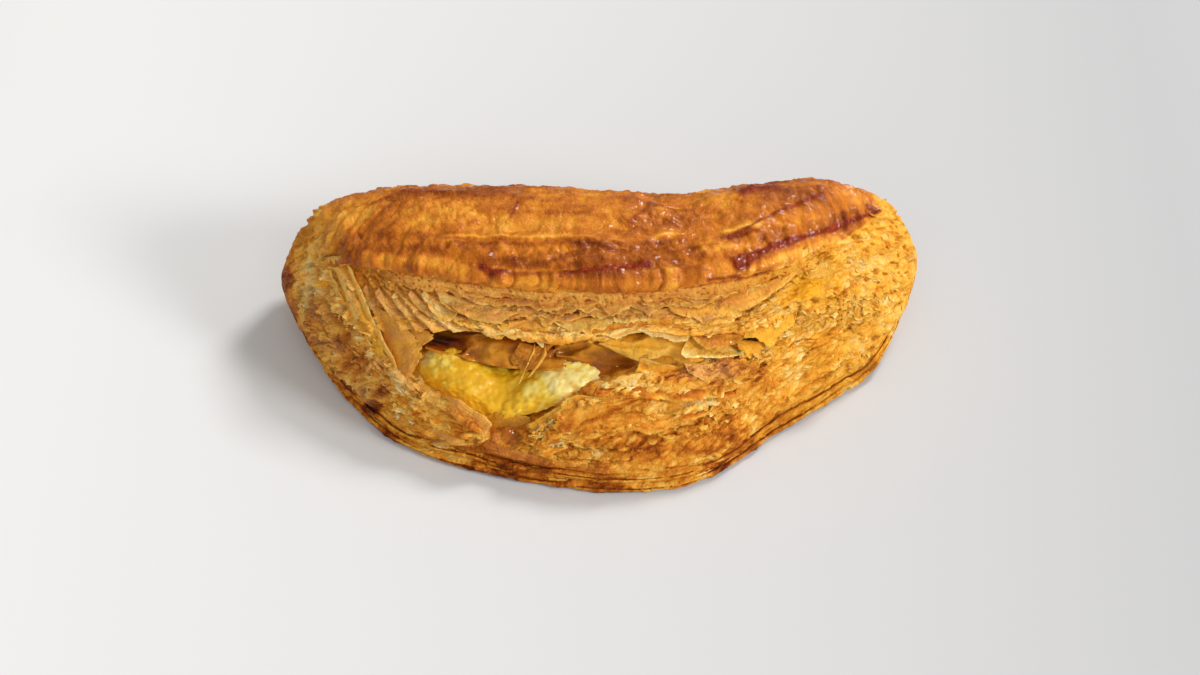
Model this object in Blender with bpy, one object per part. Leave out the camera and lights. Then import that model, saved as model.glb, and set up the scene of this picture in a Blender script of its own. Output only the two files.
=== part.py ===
"""A half-moon cheese pie: one folded sheet of puff pastry, torn open along its round side, with the
cheese filling showing in the tear. Metres, +Z up, the round side towards -Y, the fold towards +Y."""

import math

import bmesh
import bpy
import numpy as np
from mathutils import Matrix, Vector, noise

MM = 0.001

# Driving dimensions, in millimetres. Across the pie, y runs from 0 at the front of the rim to the
# fold at the back, and the whole pie is centred on the origin at the end.
LENGTH = 170.0
HALF = LENGTH / 2

# The round ends: past this share of the half length a section only shrinks about its middle, in
# front like a wedge and behind like a ball. Two values are for the left and the right end.
END_START = 0.76
END_FRONT_START = (1.15, 1.5)
END_FRONT_ROUNDNESS = 0.8
END_BACK_ROUNDNESS = (0.72, 0.6)
END_CENTRE_Y = 68.5
END_CENTRE_Z = 12.0
END_SKEW_Y = 3.0

# Lines along the pie, each as (x, y) or (x, z): the rim and the top crust's front lip in plan, the
# fold in plan, and the heights of the lip and of the crown.
RIM_LINE = [(-72, 41), (-58, 22.5), (-45, 12.5), (-30, 7), (-12, 2.3), (10, 0), (24, 3), (35, 10.5),
            (45, 20), (60, 31.5), (72, 43)]
LIP_LINE = [(-72, 52), (-49, 43), (-20, 36), (0, 35), (30, 39), (55, 50), (67, 60), (72, 66)]
FOLD_LINE = [(-72, 81), (-50, 83.5), (-25, 83.5), (0, 83.5), (20, 81.5), (38, 82.5), (58, 82),
             (72, 80)]
LIP_HEIGHTS = [(-72, 33), (-50, 37.5), (-20, 39.5), (20, 39.5), (50, 37), (72, 31.5)]
LIP_UNDERCUT = [(-76, 0.8), (-64, 2.4), (-50, 3.6), (44, 3.6), (58, 1.6), (66, 0.6)]
CROWN_HEIGHTS = [(-72, 36.5), (-50, 43), (-25, 43.5), (0, 44), (20, 42.5), (40, 43.5), (58, 42),
                 (72, 36)]

# Heights and steps of the section: the rim's thin layers and the cracks between them, and the lip.
RIM_LAYER = 2.4
RIM_STEP_BACK = 1.3
RIM_CRACK = 1.7
RIM_LAYER_ROUNDING = 1.4
RIM_TOP_HEIGHT = 6.2
BOTTOM_INSET, BOTTOM_ROUNDING = 4.0, 0.8
WALL_BULGE = 3.6
LIP_RISE = 1.3
FOLD_INSET, FOLD_BOTTOM = 7.0, 6.0

# The top crust: a long crease behind the lip.
CREASE_POSITION = 17.1
CREASE_DEPTH = 1.7

# Ledges on the lower crust, as (x, y + z) along the crease under each, with how far it stands out.
LEDGES = [
    ([(-18, 13), (-3, 19.3), (5, 21.6), (16, 26), (32, 33)], 1.7),
    ([(22, 12), (36, 23), (52, 37), (68, 52)], 1.1),
    ([(-72, 44), (-58, 33), (-44, 24), (-32, 17)], 1.1),
]
LEDGE_WIDTH = 2.6

# Stretched layers that fan out on the left of the tear: they run from a point down to the right.
FAN_CENTRE = (-62.0, 77.0)
FAN_REACH = (14.0, 46.0)
FAN_ANGLES = (-75.0, -28.0)
FAN_RIDGES = 7
FAN_DEPTH = 1.0

# The tear, as (x, share of the way up the wall) for its lower and upper edges, and (x, depth).
TEAR_LOWER = [(-66, 0.38), (-53, 0.34), (-42, 0.25), (-33, 0.17), (-26, 0.1), (-19, 0.16), (-8, 0.35),
              (2, 0.46), (12, 0.5), (26, 0.51), (38, 0.46), (50, 0.4), (62, 0.38)]
TEAR_UPPER = [(-66, 0.64), (-53, 0.62), (-42, 0.67), (-32, 0.7), (-10, 0.7), (0, 0.73), (12, 0.76),
              (24, 0.7), (38, 0.66), (50, 0.64), (62, 0.62)]
TEAR_DEPTH = [(-60, 0), (-54, 2), (-46, 12), (-34, 15), (-22, 14), (-8, 15), (8, 16), (24, 14), (36, 8),
              (46, 0)]

# The cheese runs through the fold and shows in the tear, as a mound in front and a flat bed behind.
# Lines along it, as (x, y) or (x, z): its front edge, the mound's crest, and its back.
CHEESE_FRONT_Y = [(-50, 30), (-44, 24.5), (-37, 20), (-31, 17.5), (-25.5, 14.5), (-20, 15), (-8, 16),
                  (3, 20), (12, 27), (24, 38), (38, 46)]
CHEESE_FRONT_Z = [(-50, 12), (-44, 13.5), (-37, 14.5), (-31, 13), (-25.5, 11.0), (-20, 14), (-8, 18),
                  (3, 17), (12, 12.5), (24, 11), (38, 10.5)]
CHEESE_CREST_Y = [(-50, 37), (-44, 32), (-37, 30), (-25.5, 27), (-8, 26), (3, 28), (12, 35), (24, 46),
                  (38, 53)]
CHEESE_CREST_Z = [(-50, 15.5), (-43, 20), (-35, 21.5), (-25.5, 17), (-18, 19), (-8, 22), (3, 20),
                  (12, 15), (24, 13), (38, 12.5)]
CHEESE_BACK_Y = [(-50, 62), (-25, 72), (0, 72), (24, 70), (38, 66)]
CHEESE_BED_HEIGHT = 13.5
CHEESE_UNDERSIDE = 5.6
CHEESE_HALF = 47.0
CHEESE_MIDDLE = (-6.0, 52.0, 9.5)
CHEESE_END_START = 0.86
CHEESE_SPANS = (3, 5, 4, 4, 4, 3, 4, 3)
CHEESE_STATIONS = 32
CHEESE_LUMP_SIZE, CHEESE_LUMPS = 10.0, 0.5
CHEESE_GAP = 0.35

# Sheets of dough that hang free at the tear: four corners each, as (x, y + z, how far in front of the
# wall), and thickness.
SHEETS = [
    ([(23, 57, -1.5), (40, 53, -1.0), (38.5, 46.5, 0.8), (21.5, 47.5, 3.2)], 1.1),
    ([(-17, 57, -2.0), (-11.5, 57, -2.0), (-20, 44, -5.5), (-23.5, 43.5, -6.0)], 1.2),
    ([(-64, 68, -0.5), (-52, 58, 0.8), (-47, 47, 1.2), (-57, 37, 0.4)], 1.4),
    ([(3, 46, -1.2), (26, 44, -0.6), (27, 37.5, 1.8), (5.5, 37.5, 2.0)], 1.3),
]
SHEET_CUTS = 6
SHEET_WAVE_SIZE, SHEET_WAVE = 7.0, 0.7

# The number of mesh points along each stretch of a section, from the front of the bottom round to the
# back of it, and the number of sections.
SPANS = (1, 1, 1, 1, 1, 1, 2, 5, 5, 4, 4, 4, 6, 4, 2, 2, 5, 5, 4, 3, 3, 2, 4)
STATIONS = 62
WALL_START, LIP_START = 6, 14
END_CROWDING = 0.35

# The crust's relief, in millimetres: the width and height of its lumps, and the grooves between the
# layers of dough that the wall shows.
LUMP_SIZE, CRAG_SIZE = 22.0, 8.0
WALL_LUMPS, TOP_LUMPS = 0.7, 0.7
WALL_CRAGS, TOP_CRAGS = 0.7, 0.3
WALL_LAYERS = 7
LAYER_WANDER = 1.1
LAYER_GROOVE = 1.0

# Name, linear base colour and roughness of the two surfaces.
PASTRY_LOOK = ("baked_crust", (0.56, 0.26, 0.06), 0.5)
CHEESE_LOOK = ("cheese_curd", (0.86, 0.66, 0.22), 0.4)


def smooth_step(low, high, value):
    share = np.clip((value - low) / (high - low), 0, 1)
    return share * share * (3 - 2 * share)


def curve_through(points, x):
    """The height at x of one smooth curve through the points, level beyond its ends."""
    px, py = np.array(points, float).T
    slope = np.gradient(py, px)
    x = np.clip(x, px[0], px[-1])
    i = np.clip(np.searchsorted(px, x) - 1, 0, len(px) - 2)
    width = px[i + 1] - px[i]
    s = (x - px[i]) / width
    return ((2 * s**3 - 3 * s**2 + 1) * py[i] + (s**3 - 2 * s**2 + s) * width * slope[i]
            + (3 * s**2 - 2 * s**3) * py[i + 1] + (s**3 - s**2) * width * slope[i + 1])


def noise_at(points, size, seed=0.0, octaves=3):
    """Fractal noise of about -1 to 1 whose lumps are as wide as size."""
    return np.array([noise.fractal(Vector(p) / size + Vector((seed, 2 * seed, 0)), 0.9, 2.1, octaves)
                     for p in points])


def wall_point(x, share, out):
    """A point of the front wall: share runs from the rim's top, 0, to under the lip, 1."""
    rim = curve_through(RIM_LINE, x)
    lip = curve_through(LIP_LINE, x)
    low = np.stack([rim + 2.5, np.full_like(x, RIM_TOP_HEIGHT)], -1)
    undercut = curve_through(LIP_UNDERCUT, x)
    high = np.stack([lip + 0.5 * undercut, curve_through(LIP_HEIGHTS, x) - undercut], -1)
    run = high - low
    outward = np.stack([-run[..., 1], run[..., 0]], -1) / np.linalg.norm(run, axis=-1, keepdims=True)
    bulge = WALL_BULGE * np.sin(math.pi * np.clip(share, 0, 1)) ** 0.7
    return low + run * share[..., None] + outward * (bulge + out)[..., None]


def wall_at(x, oblique, out):
    """The point of the front wall at x where y + z has this value."""
    low, high = wall_point(x, np.zeros_like(x), 0 * x), wall_point(x, np.ones_like(x), 0 * x)
    share = (oblique - low.sum(axis=-1)) / (high - low).sum(axis=-1)
    return wall_point(x, share, out)


def section_controls(x):
    """The control points (y, z) of the sections at x, in millimetres, from the bottom's front edge
    over the rim, the torn wall, the lip and the crown to the fold and the bottom's back edge."""
    rim = curve_through(RIM_LINE, x)
    lip = curve_through(LIP_LINE, x)
    fold = curve_through(FOLD_LINE, x)
    crown = curve_through(CROWN_HEIGHTS, x)
    lip_z = curve_through(LIP_HEIGHTS, x)
    undercut = curve_through(LIP_UNDERCUT, x)
    lower = curve_through(TEAR_LOWER, x)
    upper = curve_through(TEAR_UPPER, x)
    depth = curve_through(TEAR_DEPTH, x)
    level = np.zeros_like(x)

    def at(y, z):
        return np.stack([y + level, z + level], -1)

    def on_wall(share, out=0.0):
        return wall_point(x, share + level, out + level)

    opened = smooth_step(0, 6, depth)
    floor_edge = on_wall(lower, 0.6 * opened)
    roof_edge = on_wall(upper, 1.4 * opened)
    back_low = 0.33 - 0.23 * opened
    back_high = 0.67 + 0.18 * opened
    floor_back = on_wall(lower + back_low * (upper - lower)) + at(depth * 1.15, -0.3 * depth)
    roof_back = on_wall(lower + back_high * (upper - lower)) + at(depth * 1.1, -0.25 * depth)
    crust = fold - lip
    return np.stack([
        at(rim + BOTTOM_INSET, 0),
        at(rim + BOTTOM_ROUNDING, 0.5 * BOTTOM_ROUNDING),
        at(rim, 0.6 * RIM_LAYER),
        at(rim + RIM_CRACK, RIM_LAYER),
        at(rim + RIM_STEP_BACK, 1.6 * RIM_LAYER),
        at(rim + RIM_STEP_BACK + RIM_CRACK, 2.0 * RIM_LAYER),
        at(rim + 1.6 * RIM_STEP_BACK, 2.0 * RIM_LAYER + RIM_LAYER_ROUNDING),
        on_wall(np.minimum(0.12, 0.45 * lower), 0.3),
        on_wall(np.minimum(0.3, 0.8 * lower), 0.5),
        floor_edge,
        floor_back,
        roof_back,
        roof_edge,
        on_wall(0.5 + 0.5 * upper),
        at(lip + 0.5 * undercut, lip_z - undercut),
        at(lip, lip_z - 0.33 * undercut),
        at(lip + 0.06 * crust, lip_z + LIP_RISE),
        at(lip + 0.32 * crust, crown - 1.0),
        at(lip + 0.6 * crust, crown),
        at(fold - 0.2 * crust, crown - 0.16 * crown),
        at(fold, 0.48 * crown),
        at(fold - 0.23 * FOLD_INSET, FOLD_BOTTOM),
        at(fold - FOLD_INSET, 0),
    ], axis=1)


def around_section(controls, spans):
    """Points round each closed section, by a Catmull-Rom curve with so many points in each span."""
    made = []
    count = controls.shape[1]
    for i, steps in enumerate(spans):
        a, b, c, d = (controls[:, (i + k) % count] for k in (-1, 0, 1, 2))
        for s in np.arange(steps) / steps:
            made.append(0.5 * (2 * b + (c - a) * s + (2 * a - 5 * b + 4 * c - d) * s**2
                               + (3 * b - a - 3 * c + d) * s**3))
    return np.stack(made, axis=1)


def wall_share(spans):
    """For each point round a section, how far up the wall it is, and 0 or 1 off the wall."""
    return np.clip((span_position(spans) - WALL_START) / (LIP_START - WALL_START), 0, 1)


def span_position(spans):
    """For each point round a section, its span number and the share of the span that is behind it."""
    return np.array([i + s for i, steps in enumerate(spans) for s in np.arange(steps) / steps])


def pie_grid(stations, spans):
    """The smooth pie as a grid of points, stations by points round a section, in millimetres."""
    angle = np.linspace(0, math.pi, stations + 1)
    even = np.linspace(-1, 1, stations + 1)
    x = HALF * (END_CROWDING * -np.cos(angle) + (1 - END_CROWDING) * even)
    share = np.abs(x) / HALF
    inner = np.clip(x, -END_START * HALF, END_START * HALF)
    section = around_section(section_controls(inner), spans)
    past = np.clip((share - END_START) / (1 - END_START), 0, 1)[:, None]
    centre = np.stack([END_CENTRE_Y + END_SKEW_Y * np.sign(x), np.full_like(x, END_CENTRE_Z)], -1)[:, None]
    behind = smooth_step(-20, 12, section[..., 0] - centre[..., 0])
    right = (x > 0)[:, None]
    front_start = np.where(right, END_FRONT_START[1], END_FRONT_START[0])
    front_shrink = (1 - past**front_start) ** END_FRONT_ROUNDNESS
    back_shrink = (1 - past**2) ** np.where(right, END_BACK_ROUNDNESS[1], END_BACK_ROUNDNESS[0])
    shrink = front_shrink + (back_shrink - front_shrink) * behind
    section = centre + (section - centre) * shrink[..., None]
    grid = np.empty(section.shape[:2] + (3,))
    grid[..., 0] = x[:, None]
    grid[..., 1:] = section
    return grid


def grid_normals(grid):
    """Outward unit normals of the closed grid."""
    lengthwise = np.gradient(grid, axis=0)
    around = np.roll(grid, -1, axis=1) - np.roll(grid, 1, axis=1)
    normal = np.cross(lengthwise, around)
    return normal / np.maximum(np.linalg.norm(normal, axis=-1, keepdims=True), 1e-9)


def ledges(x, oblique):
    """A crease under each ledge and the ledge's rounded edge above it."""
    total = np.zeros_like(x)
    for line, out in LEDGES:
        above = (oblique - curve_through(line, x)) / LEDGE_WIDTH
        start, end = line[0][0], line[-1][0]
        along = smooth_step(start - 4, start + 6, x) * (1 - smooth_step(end - 6, end + 4, x))
        total += out * along * (np.exp(-(above - 1) ** 2) - 0.9 * np.exp(-(above / 0.6) ** 2))
    return total


def fan(x, oblique):
    """Ridges that run out from one point, as wide sheets of dough stretched when the pie tore."""
    across, up = x - FAN_CENTRE[0], oblique - FAN_CENTRE[1]
    distance = np.hypot(across, up)
    angle = np.degrees(np.arctan2(up, across))
    low, high = FAN_ANGLES
    inside = smooth_step(low - 8, low + 6, angle) * (1 - smooth_step(high - 6, high + 8, angle))
    inside = inside * smooth_step(FAN_REACH[0] - 8, FAN_REACH[0], distance)
    inside = inside * (1 - smooth_step(FAN_REACH[1] - 10, FAN_REACH[1], distance))
    turn = FAN_RIDGES * (angle - low) / (high - low)
    return FAN_DEPTH * inside * np.cos(2 * math.pi * turn)


def relief(grid, spans):
    """How far the crust stands off the smooth form: layers and crags on the wall, folds on the top."""
    flat = grid.reshape(-1, 3)
    x = grid[..., 0]
    position = span_position(spans)[None, :] + 0 * x
    up_wall = wall_share(spans)[None, :] + 0 * x
    coarse = noise_at(flat, LUMP_SIZE, 3.1).reshape(x.shape)
    fine = noise_at(flat, CRAG_SIZE, 8.7, 2).reshape(x.shape)
    on_wall = smooth_step(5.6, 6.4, position) * (1 - smooth_step(13.2, 14.2, position))
    in_tear = smooth_step(7.8, 8.9, position) * (1 - smooth_step(12.4, 13.2, position))
    on_top = smooth_step(15.0, 16.0, position) * (1 - smooth_step(20.5, 21.5, position))
    layers = WALL_LAYERS * up_wall + LAYER_WANDER * coarse
    groove = np.abs((layers % 1.0) - 0.5) * 2
    wall = WALL_CRAGS * fine + WALL_LUMPS * coarse - LAYER_GROOVE * groove**3
    crease = np.exp(-((position - CREASE_POSITION) / 0.3) ** 2)
    crease = crease - 0.5 * np.exp(-((position - CREASE_POSITION + 0.55) / 0.35) ** 2)
    top = TOP_LUMPS * coarse + TOP_CRAGS * fine - CREASE_DEPTH * crease
    tips = 1 - smooth_step(0.76, 0.97, np.abs(x) / HALF)
    notch = 1 - smooth_step(0.1, 0.24, curve_through(TEAR_LOWER, x))
    tips = tips * (1 - 0.8 * notch * (1 - smooth_step(8.8, 9.6, position)))
    oblique = grid[..., 1] + grid[..., 2]
    wall = wall + ledges(x, oblique) + fan(x, oblique)
    return tips * (on_wall * (1 - 0.8 * in_tear) * wall + on_top * top)


def move_primitive(bm, points):
    """Gives a UV sphere's vertices the places of a grid of points whose first and last rows are poles."""
    rows, columns = points.shape[0] - 1, points.shape[1]
    for vert in bm.verts:
        row = round(math.acos(max(-1.0, min(1.0, vert.co.z))) / math.pi * rows)
        turn = math.atan2(vert.co.y, vert.co.x) / (2 * math.pi)
        column = math.floor(turn * columns + 0.1) % columns
        if row in (0, rows):
            vert.co = Vector(points[row].mean(axis=0)) * MM
        else:
            vert.co = Vector(points[row, column]) * MM


def material(name, colour, roughness):
    """A plain food surface: base colour as linear RGB."""
    made = bpy.data.materials.new(name)
    made.use_nodes = True
    shader = made.node_tree.nodes["Principled BSDF"]
    shader.inputs["Base Color"].default_value = (*colour, 1.0)
    shader.inputs["Roughness"].default_value = roughness
    shader.inputs["Metallic"].default_value = 0.0
    made.diffuse_color = (*colour, 1.0)
    return made


def new_object(name, bm, collection):
    mesh = bpy.data.meshes.new(name)
    if bm.calc_volume(signed=True) < 0:
        bmesh.ops.reverse_faces(bm, faces=bm.faces)
    bm.to_mesh(mesh)
    bm.free()
    made = bpy.data.objects.new(name, mesh)
    collection.objects.link(made)
    return made


def make_pastry(collection):
    grid = pie_grid(STATIONS, SPANS)
    grid = grid + grid_normals(grid) * relief(grid, SPANS)[..., None]
    grid[..., 2] = np.maximum(grid[..., 2], 0)
    bm = bmesh.new()
    bmesh.ops.create_uvsphere(bm, u_segments=sum(SPANS), v_segments=STATIONS, radius=1)
    move_primitive(bm, grid)
    return new_object("pastry", bm, collection)


def cheese_grid():
    """The cheese as a grid of points, stations by points round a section, in millimetres."""
    angle = np.linspace(0, math.pi, CHEESE_STATIONS + 1)
    middle_x, middle_y, middle_z = CHEESE_MIDDLE
    x = middle_x - CHEESE_HALF * (0.5 * np.cos(angle) + 0.5 * (1 - 2 * angle / math.pi))
    reach = CHEESE_END_START * CHEESE_HALF
    inner = np.clip(x, middle_x - reach, middle_x + reach)
    front_y, front_z = curve_through(CHEESE_FRONT_Y, inner), curve_through(CHEESE_FRONT_Z, inner)
    crest_y, crest_z = curve_through(CHEESE_CREST_Y, inner), curve_through(CHEESE_CREST_Z, inner)
    back_y = curve_through(CHEESE_BACK_Y, inner)
    under = np.full_like(x, CHEESE_UNDERSIDE)
    bed = np.minimum(CHEESE_BED_HEIGHT, crest_z - 1)
    behind = np.minimum(7, 0.35 * (back_y - crest_y))

    def at(y, z):
        return np.stack([y, z], -1)

    controls = np.stack([
        at(front_y, front_z - 1.5),
        at(front_y + 1.6, front_z + 0.35 * (crest_z - front_z)),
        at(crest_y, crest_z),
        at(crest_y + behind, 0.7 * bed + 0.3 * crest_z),
        at(0.35 * crest_y + 0.65 * back_y, bed),
        at(back_y, 0.5 * (bed + under)),
        at(0.3 * crest_y + 0.7 * back_y, under),
        at(0.6 * front_y + 0.4 * crest_y + 3, under + 0.3 * (front_z - under)),
    ], axis=1)
    section = around_section(controls, CHEESE_SPANS)
    past = np.clip((np.abs(x - middle_x) / CHEESE_HALF - CHEESE_END_START) / (1 - CHEESE_END_START), 0, 1)
    shrink = np.sqrt(1 - past**2)[:, None, None]
    centre = np.array([middle_y, middle_z])
    grid = np.empty(section.shape[:2] + (3,))
    grid[..., 0] = x[:, None]
    grid[..., 1:] = centre + (section - centre) * shrink
    lumps = noise_at(grid.reshape(-1, 3), CHEESE_LUMP_SIZE, 5.5, 2).reshape(grid.shape[:2])
    in_front = 1 - smooth_step(6.0, 9.0, grid[..., 1] - crest_y[:, None])
    return grid + grid_normals(grid) * (CHEESE_LUMPS * lumps * in_front * (1 - past)[:, None])[..., None]


def cheese_mesh(swell):
    """The cheese as a bmesh, swollen outwards by so many millimetres."""
    grid = cheese_grid()
    grid = grid + grid_normals(grid) * swell
    grid[0, :, 0] -= swell
    grid[-1, :, 0] += swell
    bm = bmesh.new()
    bmesh.ops.create_uvsphere(bm, u_segments=sum(CHEESE_SPANS), v_segments=CHEESE_STATIONS, radius=1)
    move_primitive(bm, grid)
    return bm


def sheet_mesh(corners, thickness):
    """A closed sheet of dough between four corners, thinner towards its rim and a little wavy."""
    bm = bmesh.new()
    bmesh.ops.create_cube(bm, size=2.0)
    bmesh.ops.subdivide_edges(bm, edges=bm.edges, cuts=SHEET_CUTS, use_grid_fill=True)
    flat = np.array([v.co for v in bm.verts])
    s, t, side = (flat[:, 0] + 1) / 2, (flat[:, 1] + 1) / 2, flat[:, 2]
    a, b, c, d = (np.array(corner, float) for corner in corners)
    top = a + (b - a) * s[:, None]
    bottom = d + (c - d) * s[:, None]
    place = top + (bottom - top) * t[:, None]
    wave = noise_at(place, SHEET_WAVE_SIZE, 2.4)
    thin = thickness * (0.5 + 0.5 * (1 - np.abs(2 * s - 1) ** 4) * (1 - 0.7 * t**3))
    out = place[:, 2] + SHEET_WAVE * wave + 0.5 * side * thin
    wall = wall_at(place[:, 0], place[:, 1] + (0.5 + 1.4 * t) * wave, out)
    for vert, x, yz in zip(bm.verts, place[:, 0], wall):
        vert.co = Vector((x, yz[0], yz[1])) * MM
    return bm


def apply_boolean(target, cutter, operation):
    modifier = target.modifiers.new("cut", "BOOLEAN")
    modifier.operation = operation
    modifier.solver = "EXACT"
    modifier.object = cutter
    graph = bpy.context.evaluated_depsgraph_get()
    cut = bpy.data.meshes.new_from_object(target.evaluated_get(graph))
    target.modifiers.remove(modifier)
    target.data = cut
    bpy.data.objects.remove(cutter)


def stand_at_origin(objects):
    """Moves the meshes together, so that their box is centred over the origin and stands on z = 0."""
    points = np.array([v.co for made in objects for v in made.data.vertices])
    low, high = points.min(axis=0), points.max(axis=0)
    shift = Matrix.Translation((-(low[0] + high[0]) / 2, -(low[1] + high[1]) / 2, -low[2]))
    for made in objects:
        made.data.transform(shift)


def main():
    for old in list(bpy.data.objects):
        bpy.data.objects.remove(old)
    pie = bpy.data.collections.new("cheese_pie")
    bpy.context.scene.collection.children.link(pie)
    pastry = make_pastry(pie)
    for corners, thickness in SHEETS:
        apply_boolean(pastry, new_object("sheet", sheet_mesh(corners, thickness), pie), "UNION")
    pocket = new_object("pocket", cheese_mesh(CHEESE_GAP), pie)
    apply_boolean(pastry, pocket, "DIFFERENCE")
    cheese = new_object("cheese_filling", cheese_mesh(0.0), pie)
    stand_at_origin([pastry, cheese])
    for made, look in ((pastry, PASTRY_LOOK), (cheese, CHEESE_LOOK)):
        made.data.materials.clear()
        made.data.materials.append(material(*look))


main()
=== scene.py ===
import math

import bpy
import numpy as np
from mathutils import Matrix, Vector


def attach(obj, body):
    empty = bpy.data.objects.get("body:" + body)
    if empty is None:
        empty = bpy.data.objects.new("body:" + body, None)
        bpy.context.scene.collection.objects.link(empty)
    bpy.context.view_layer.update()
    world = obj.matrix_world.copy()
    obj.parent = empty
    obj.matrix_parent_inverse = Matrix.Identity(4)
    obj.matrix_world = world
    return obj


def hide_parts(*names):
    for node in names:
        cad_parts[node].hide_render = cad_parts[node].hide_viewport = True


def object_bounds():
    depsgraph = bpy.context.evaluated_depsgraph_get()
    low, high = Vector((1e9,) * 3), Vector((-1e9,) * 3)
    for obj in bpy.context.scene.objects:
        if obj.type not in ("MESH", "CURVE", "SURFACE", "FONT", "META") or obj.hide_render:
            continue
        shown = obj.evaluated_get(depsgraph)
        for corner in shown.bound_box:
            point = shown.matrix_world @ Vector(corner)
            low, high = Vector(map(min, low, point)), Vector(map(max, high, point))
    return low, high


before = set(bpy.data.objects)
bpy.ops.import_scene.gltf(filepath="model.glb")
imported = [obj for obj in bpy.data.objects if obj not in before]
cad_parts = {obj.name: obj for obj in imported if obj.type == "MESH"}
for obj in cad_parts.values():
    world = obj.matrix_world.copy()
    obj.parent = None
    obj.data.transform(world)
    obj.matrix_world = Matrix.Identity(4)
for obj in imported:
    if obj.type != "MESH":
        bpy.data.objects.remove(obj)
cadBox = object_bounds()

# A half-moon cheese pie. Sizes are in millimetres, with y from the rim's front, 0, to the fold, 84,
# until a finished mesh is moved by originShift and turned into metres.
mm = 0.001
originShift = np.array([0.0, -42.18, 0.0])

# The camera looks along +Y from 45 degrees above the horizon, as the photographer did.
view = {"elevation": 45.0, "distance": 737.0, "target": (0.0, 0.0, 14.0), "lens": 85.0, "sensor": 36.0,
        "frame": (1200, 675)}
# about what a millimetre of the pie takes up in the photograph
pixelsPerMm = 3.75


print("tools for colours, nodes and smooth random forms")


def linear(hexColour):
    parts = [int(hexColour[i:i + 2], 16) / 255 for i in (0, 2, 4)]
    return [p / 12.92 if p <= 0.04045 else ((p + 0.055) / 1.055) ** 2.4 for p in parts] + [1.0]


def addNode(tree, kind, inputs=None, stops=None, **settings):
    # inputs: a value or another node's socket for each input, stops: the colours of a ramp
    node = tree.nodes.new(kind)
    for key, value in settings.items():
        setattr(node, key, value)
    for key, value in (inputs or {}).items():
        if isinstance(value, bpy.types.NodeSocket):
            tree.links.new(value, node.inputs[key])
        else:
            node.inputs[key].default_value = value
    for i, (place, colour) in enumerate(stops or []):
        element = node.color_ramp.elements[i] if i < 2 else node.color_ramp.elements.new(place)
        element.position = place
        element.color = linear(colour)
    return node


def smoothStep(low, high, value):
    share = np.clip((value - low) / (high - low), 0, 1)
    return share * share * (3 - 2 * share)


def between(start, full, fade, end, value):
    # 0 outside start and end, 1 from full to fade, and smooth in between
    return smoothStep(start, full, value) * (1 - smoothStep(fade, end, value))


def curveThrough(points, x):
    # a smooth curve through points of (x, y), level beyond them
    px, py = np.array(points, float).T
    slope = np.gradient(py, px)
    x = np.clip(x, px[0], px[-1])
    i = np.clip(np.searchsorted(px, x) - 1, 0, len(px) - 2)
    width = px[i + 1] - px[i]
    u = (x - px[i]) / width
    return ((2 * u**3 - 3 * u**2 + 1) * py[i] + (u**3 - 2 * u**2 + u) * width * slope[i]
            + (3 * u**2 - 2 * u**3) * py[i + 1] + (u**3 - u**2) * width * slope[i + 1])


def cornerValue(ix, iy, iz, seed):
    # one repeatable value from -1 to 1 for each whole-numbered corner
    n = np.uint64(seed * 977 + 13)
    for index, prime in ((ix, 374761393), (iy, 668265263), (iz, 2246822519)):
        n = n + np.asarray(index).astype(np.int64).astype(np.uint64) * np.uint64(prime)
    n = (n ^ (n >> np.uint64(15))) * np.uint64(2654435761)
    n = (n ^ (n >> np.uint64(13))) * np.uint64(1274126177)
    return ((n >> np.uint64(16)) & np.uint64(65535)).astype(float) / 32767.5 - 1


def softNoise(across, up, deep, seed=0, octaves=3):
    # smooth random values of about -1 to 1, one lump per unit, finer by half in each octave
    total, weight, height = 0.0, 0.0, 1.0
    for octave in range(octaves):
        scale = 2.03**octave
        places = [np.asarray(v, float) * scale + 17.3 * octave for v in (across, up, deep)]
        base = [np.floor(p) for p in places]
        part = [p - b for p, b in zip(places, base)]
        ease = [p * p * (3 - 2 * p) for p in part]
        value = 0.0
        for cx in (0, 1):
            for cy in (0, 1):
                for cz in (0, 1):
                    share = ((ease[0] if cx else 1 - ease[0]) * (ease[1] if cy else 1 - ease[1])
                             * (ease[2] if cz else 1 - ease[2]))
                    value = value + share * cornerValue(base[0] + cx, base[1] + cy, base[2] + cz,
                                                        seed + 31 * octave)
        total = total + height * value
        weight += height
        height *= 0.55
    return 1.6 * total / weight


def blend(forms, amounts):
    # adds up the named forms, each times its amount
    return sum(amount * forms[name] for name, amount in amounts.items())


def flakeCells(across, up, seed):
    # splits the surface into irregular cells of about 1 by 1: each point gets its cell's own random
    # value, how near the cell's edge it is, and where it lies from the cell's middle
    baseX, baseY = np.floor(across), np.floor(up)
    nearest = np.full(across.shape, 9.0)
    second = np.full(across.shape, 9.0)
    own = np.zeros(across.shape)
    offX, offY = np.zeros(across.shape), np.zeros(across.shape)
    for dx in (-1, 0, 1):
        for dy in (-1, 0, 1):
            cx, cy = baseX + dx, baseY + dy
            awayX = across - (cx + 0.5 + 0.42 * cornerValue(cx, cy, 0, seed))
            awayY = up - (cy + 0.5 + 0.42 * cornerValue(cx, cy, 0, seed + 5))
            distance = np.hypot(awayX, awayY)
            closer = distance < nearest
            second = np.where(closer, nearest, np.minimum(second, distance))
            own = np.where(closer, cornerValue(cx, cy, 0, seed + 9), own)
            offX, offY = np.where(closer, awayX, offX), np.where(closer, awayY, offY)
            nearest = np.where(closer, distance, nearest)
    return own, second - nearest, offX, offY


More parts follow.
